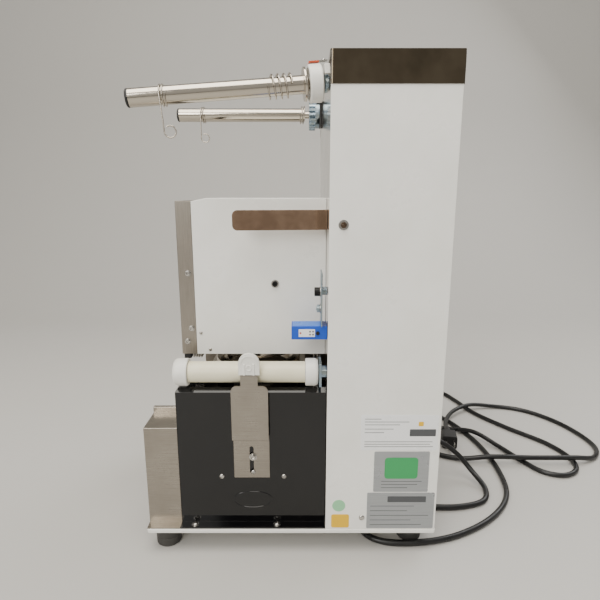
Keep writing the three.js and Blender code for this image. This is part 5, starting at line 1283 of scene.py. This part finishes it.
@dataclass
class MainsLead:
    """The mains lead: its gland with a tapered strain relief, the loose cord and its plug.

    Attributes:
        radius: the cord's radius.
        steps: the cord's steps between two points of its route.
        route: the points that the cord runs through.
        relief_length: the length of the gland's strain relief.
        gland_ribs: the ribs on it.
        gland_neck: the radius of the gland's neck, which sits in the rear panel.
        gland_flange: the radius and thickness of its flange.
        plug_ribs: the ribs on the plug's own strain relief.
        body: two corners of the plug's body, in millimetres from the cord's end.
        grips: the places of the grips along the body, in millimetres.
        pin_ends: where the flat pins start and end.
        pin_places: how far from the middle the flat pins stand, and their lower and upper edges.
        pin_half: half the thickness of a flat pin.
        earth: the round pin's radius, length and height below the middle.
    """

    radius: float = 4 * MM
    steps: int = 14
    route: tuple[tuple[float, float, float], ...] = CORD_ROUTE
    relief_length: float = 35.5 * MM
    gland_ribs: int = 6
    gland_neck: float = 7 * MM
    gland_flange: tuple[float, float] = (11 * MM, 3.3 * MM)
    plug_ribs: int = 5
    body: tuple[Point, Point] = ((20.3, -13, -13), (48.3, 13, 11))
    grips: tuple[int, ...] = (24, 28, 32, 36, 40)
    pin_ends: tuple[float, float] = (47.3, 64.3)
    pin_places: tuple[float, float, float] = (6.35, -1.15, 5.15)
    pin_half: float = 0.75
    earth: tuple[float, float, float] = (2.4 * MM, 19 * MM, 6 * MM)

    def line(self) -> list[Vector]:
        """The cord's middle: one smooth curve through its route, which nowhere sinks into the table."""
        knots = [Vector(point) for point in self.route]
        knots = [2 * knots[0] - knots[1], *knots, 2 * knots[-1] - knots[-2]]
        line = []
        for a, b, c, d in zip(knots, knots[1:], knots[2:], knots[3:]):
            before, here, after = (math.sqrt((q - p).length) for p, q in ((a, b), (b, c), (c, d)))
            leave = ((b - a) / before - (c - a) / (before + here) + (c - b) / here) * here
            arrive = ((c - b) / here - (d - b) / (here + after) + (d - c) / after) * here
            for i in range(self.steps):
                t = i / self.steps
                line.append(b + leave * t + (3 * (c - b) - 2 * leave - arrive) * t * t
                            + (2 * (b - c) + leave + arrive) * t ** 3)
        line.append(knots[-2])
        return [Vector((p.x, p.y, max(p.z, self.radius))) for p in line]

    def build(self) -> None:
        line = self.line()
        track = bpy.data.curves.new("mains_cord_jacket", "CURVE")
        track.dimensions = "3D"
        track.bevel_depth = self.radius
        track.bevel_resolution = 5
        track.use_fill_caps = True
        spline = track.splines.new("POLY")
        spline.points.add(len(line) - 1)
        for spot, point in zip(spline.points, line):
            spot.co = (*point, 1)
        spline.use_smooth = True
        cord = bpy.data.objects.new("mains_cord_jacket", track)
        bpy.context.scene.collection.objects.link(cord)
        settle(cord, CORD_JACKET, "machine", ["mains_cord"])
        relief = self.gland()
        plug = self.plug(line)

    def gland(self) -> bpy.types.Object:
        """Builds the gland's flange and its ribbed, tapered strain relief."""
        low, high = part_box("cable_gland")
        middle = Vector(((low.x + high.x) / 2, low.y, (low.z + high.z) / 2))
        depth = high.y - low.y
        bore, neck = self.radius + 0.3 * MM, self.gland_neck
        rim, thickness = self.gland_flange
        flange = depth - self.relief_length
        profile = [(bore, 0), (neck, 0), (neck, flange - thickness), (rim, flange - thickness), (rim, flange)]
        width = (depth - flange) / self.gland_ribs
        for i in range(self.gland_ribs):
            share = i / self.gland_ribs
            start = flange + (depth - flange) * share
            thick = (8 - 2.6 * share) * MM
            profile += [(thick, start + 0.15 * width), (thick - 0.25 * MM, start + 0.6 * width),
                        (thick - 1.3 * MM, start + 0.68 * width), (thick - 1.4 * MM, start + 0.92 * width)]
        profile += [(5.4 * MM, depth - 1.2 * MM), (5.0 * MM, depth), (bore, depth), (bore, 0)]
        shape = soften(turned(profile, 56), 0.2 * MM, 2, 30)
        return piece("cable_gland_moulded", moved(shape, facing(middle, -FORWARD)), BLACK_MOULDED, "machine",
                     ["cable_gland"])

    def plug(self, line: list[Vector]) -> list[bpy.types.Object]:
        """Builds the plug at the end of the cord: its body with its grips, and its three pins."""
        heading = (Vector(self.route[-1]) - Vector(self.route[-2])).to_2d()
        place = placed(*line[-1]) @ Matrix.Rotation(math.atan2(heading.y, heading.x), 4, "Z")
        lengthwise = Matrix.Rotation(math.pi / 2, 4, "Y")
        relief = [(self.radius + 0.2 * MM, 0.3 * MM)]
        for i in range(self.plug_ribs):
            start = (0.6 + 4 * i) * MM
            thick = (5.3 + 0.75 * i) * MM
            relief += [(thick, start), (thick, start + 2.4 * MM), (thick - 0.9 * MM, start + 2.8 * MM),
                       (thick - 0.9 * MM, start + 3.6 * MM)]
        relief += [(9 * MM, 21 * MM), (0, 21 * MM), (0, 0.3 * MM), (self.radius + 0.2 * MM, 0.3 * MM)]
        cone = moved(soften(turned(relief, 48), 0.2 * MM), lengthwise)
        low, high = (Vector(corner) * MM for corner in self.body)
        box = cuboid(low, high)
        long_edges = [e for e in box.edges if (e.verts[0].co - e.verts[1].co).length > high.x - low.x - MM]
        bmesh.ops.bevel(box, geom=long_edges, offset=5 * MM, affect="EDGES", segments=5, profile=0.5,
                        material=-1)
        soften(box, 1.2 * MM, 3)
        grip = soften(cuboid((0, -0.5 * MM, -7 * MM), (1.6 * MM, 0.5 * MM, 5 * MM)), 0.35 * MM)
        side = high.y - 0.4 * MM
        grips = copied(grip, [placed(x * MM, y, 0) for x in self.grips for y in (-side, side)])
        body = piece("mains_plug_body", moved(joined([cone, box, grips]), place), BLACK_MOULDED, "machine",
                     ["mains_plug"])
        (start, end), (out, bottom, top), half = self.pin_ends, self.pin_places, self.pin_half
        blade = cuboid((start * MM, -half * MM, bottom * MM), (end * MM, half * MM, top * MM))
        blades = copied(soften(blade, 0.4 * MM, 3), [placed(0, y * MM, 0) for y in (-out, out)])
        radius, length, drop = self.earth
        earth = soften(disc(radius, length, 32), 0.9 * MM, 3)
        moved(earth, placed(start * MM, 0, -drop) @ lengthwise)
        pins = piece("mains_plug_pins", moved(joined([blades, earth]), place), SCREW_STEEL, "machine")
        return [body, pins]


# ---------------------------------------------------------------- studio


@dataclass
class Studio:
    """A plain pale floor, soft lights and the camera.

    Attributes:
        camera_place: the camera's place.
        pitch: how far it looks down, in degrees.
        lens: its focal length, in millimetres.
        sensor: its sensor's width, in millimetres.
        sky: the sky's colour.
        sky_strength: the sky's brightness.
        back: where the wall behind the machine's left side stands.
        sweep: the radius in which the floor turns up into the wall.
        sweep_steps: the steps in that turn.
        wall: the wall's height.
        reach: how far the floor reaches to each side and towards the camera.
        aim: the place that the lights look at.
        lamps: each light's name, place, size, power and colour.
    """

    camera_place: Point = (0.6542, 0.011, 0.4373)
    pitch: float = 12.2
    lens: float = 28.8
    sensor: float = 36
    sky: str = "D8D5CF"
    sky_strength: float = 0.8
    back: float = -1.9
    sweep: float = 0.9
    sweep_steps: int = 24
    wall: float = 3.2
    reach: float = 12.0
    aim: Point = (0, 0.02, 0.28)
    lamps: tuple[tuple[str, Point, float, float, str], ...] = (
        ("overhead", (0.5, -0.2, 2.0), 1.5, 43, "FFFAF0"),
        ("side", (1.9, -1.0, 1.3), 1.1, 30, "FFFDF8"),
        ("behind", (-0.9, 1.4, 1.6), 1.3, 18, "FFFFFF"),
    )

    def camera(self) -> None:
        """Sets the camera on the machine's right side, a little above its middle."""
        data = bpy.data.cameras.new("camera")
        data.lens = self.lens
        data.sensor_width = self.sensor
        data.clip_start = 0.01
        eye = bpy.data.objects.new("camera", data)
        eye.location = self.camera_place
        tilt = math.radians(self.pitch)
        eye.rotation_euler = Vector((-math.cos(tilt), 0, -math.sin(tilt))).to_track_quat("-Z", "Y").to_euler()
        bpy.context.scene.collection.objects.link(eye)
        bpy.context.scene.camera = eye

    def light(self, name: str, place: Point, size: float, power: float, colour: str) -> None:
        """Adds a soft square light that looks at the machine."""
        data = bpy.data.lights.new(name, "AREA")
        data.size = size
        data.energy = power
        data.color = linear(colour)[:3]
        lamp = bpy.data.objects.new(name, data)
        lamp.location = place
        lamp.rotation_euler = (Vector(self.aim) - Vector(place)).to_track_quat("-Z", "Y").to_euler()
        bpy.context.scene.collection.objects.link(lamp)

    def backdrop(self) -> bpy.types.Mesh:
        """A floor that sweeps up into a plain wall behind the machine's left side."""
        line = [(self.reach, 0.0), (self.back + self.sweep, 0.0)]
        for i in range(1, self.sweep_steps + 1):
            angle = math.pi / 2 * i / self.sweep_steps
            line.append((self.back + self.sweep * (1 - math.sin(angle)), self.sweep * (1 - math.cos(angle))))
        line.append((self.back, self.wall))
        bm = bmesh.new()
        across = [[bm.verts.new((x, y, z)) for y in (-self.reach, self.reach)] for x, z in line]
        for near, far in zip(across, across[1:]):
            bm.faces.new((near[0], near[1], far[1], far[0]))
        mesh = bpy.data.meshes.new("floor")
        bm.to_mesh(mesh)
        bm.free()
        mesh.polygons.foreach_set("use_smooth", [True] * len(mesh.polygons))
        return mesh

    def build(self) -> None:
        """Lays the floor and sets the lights and the sky."""
        floor = bpy.data.objects.new("floor", self.backdrop())
        floor.data.materials.append(material_for(STUDIO_FLOOR))
        bpy.context.scene.collection.objects.link(floor)
        for lamp in self.lamps:
            self.light(*lamp)
        world = bpy.data.worlds.new("sky")
        world.use_nodes = True
        sky = world.node_tree.nodes["Background"]
        sky.inputs["Color"].default_value = linear(self.sky)
        sky.inputs["Strength"].default_value = self.sky_strength
        bpy.context.scene.world = world


# ---------------------------------------------------------------- the machine


def main() -> None:
    """Builds the studio and the machine."""
    logging.basicConfig(level=logging.INFO, format="%(message)s")
    studio = Studio()
    studio.camera()
    MainsLead().build()
    studio.build()
    Base().build()
    Tower().build()
    HeadUnit().build()
    LowerBody().build()
    FilmPath().build()
    supply = Spindle("supply", 215 * MM, (41 * MM, 4, 6.5 * MM), (174 * MM, 38 * MM),
                     (17.5 * MM, 26 * MM, 28 * MM))
    supply.build()
    SupplyHub().build(supply.frame())
    takeup = Spindle("takeup", 214.5 * MM, (24.5 * MM, 2, 3.4 * MM), (173 * MM, 34 * MM))
    takeup.build()
    refined("takeup_gear", ZINC, "takeup_reel", 0.25 * MM)
    refined("takeup_bearing", BLACK_MOULDED, edge=0.4 * MM)


if __name__ == "__main__":
    main()
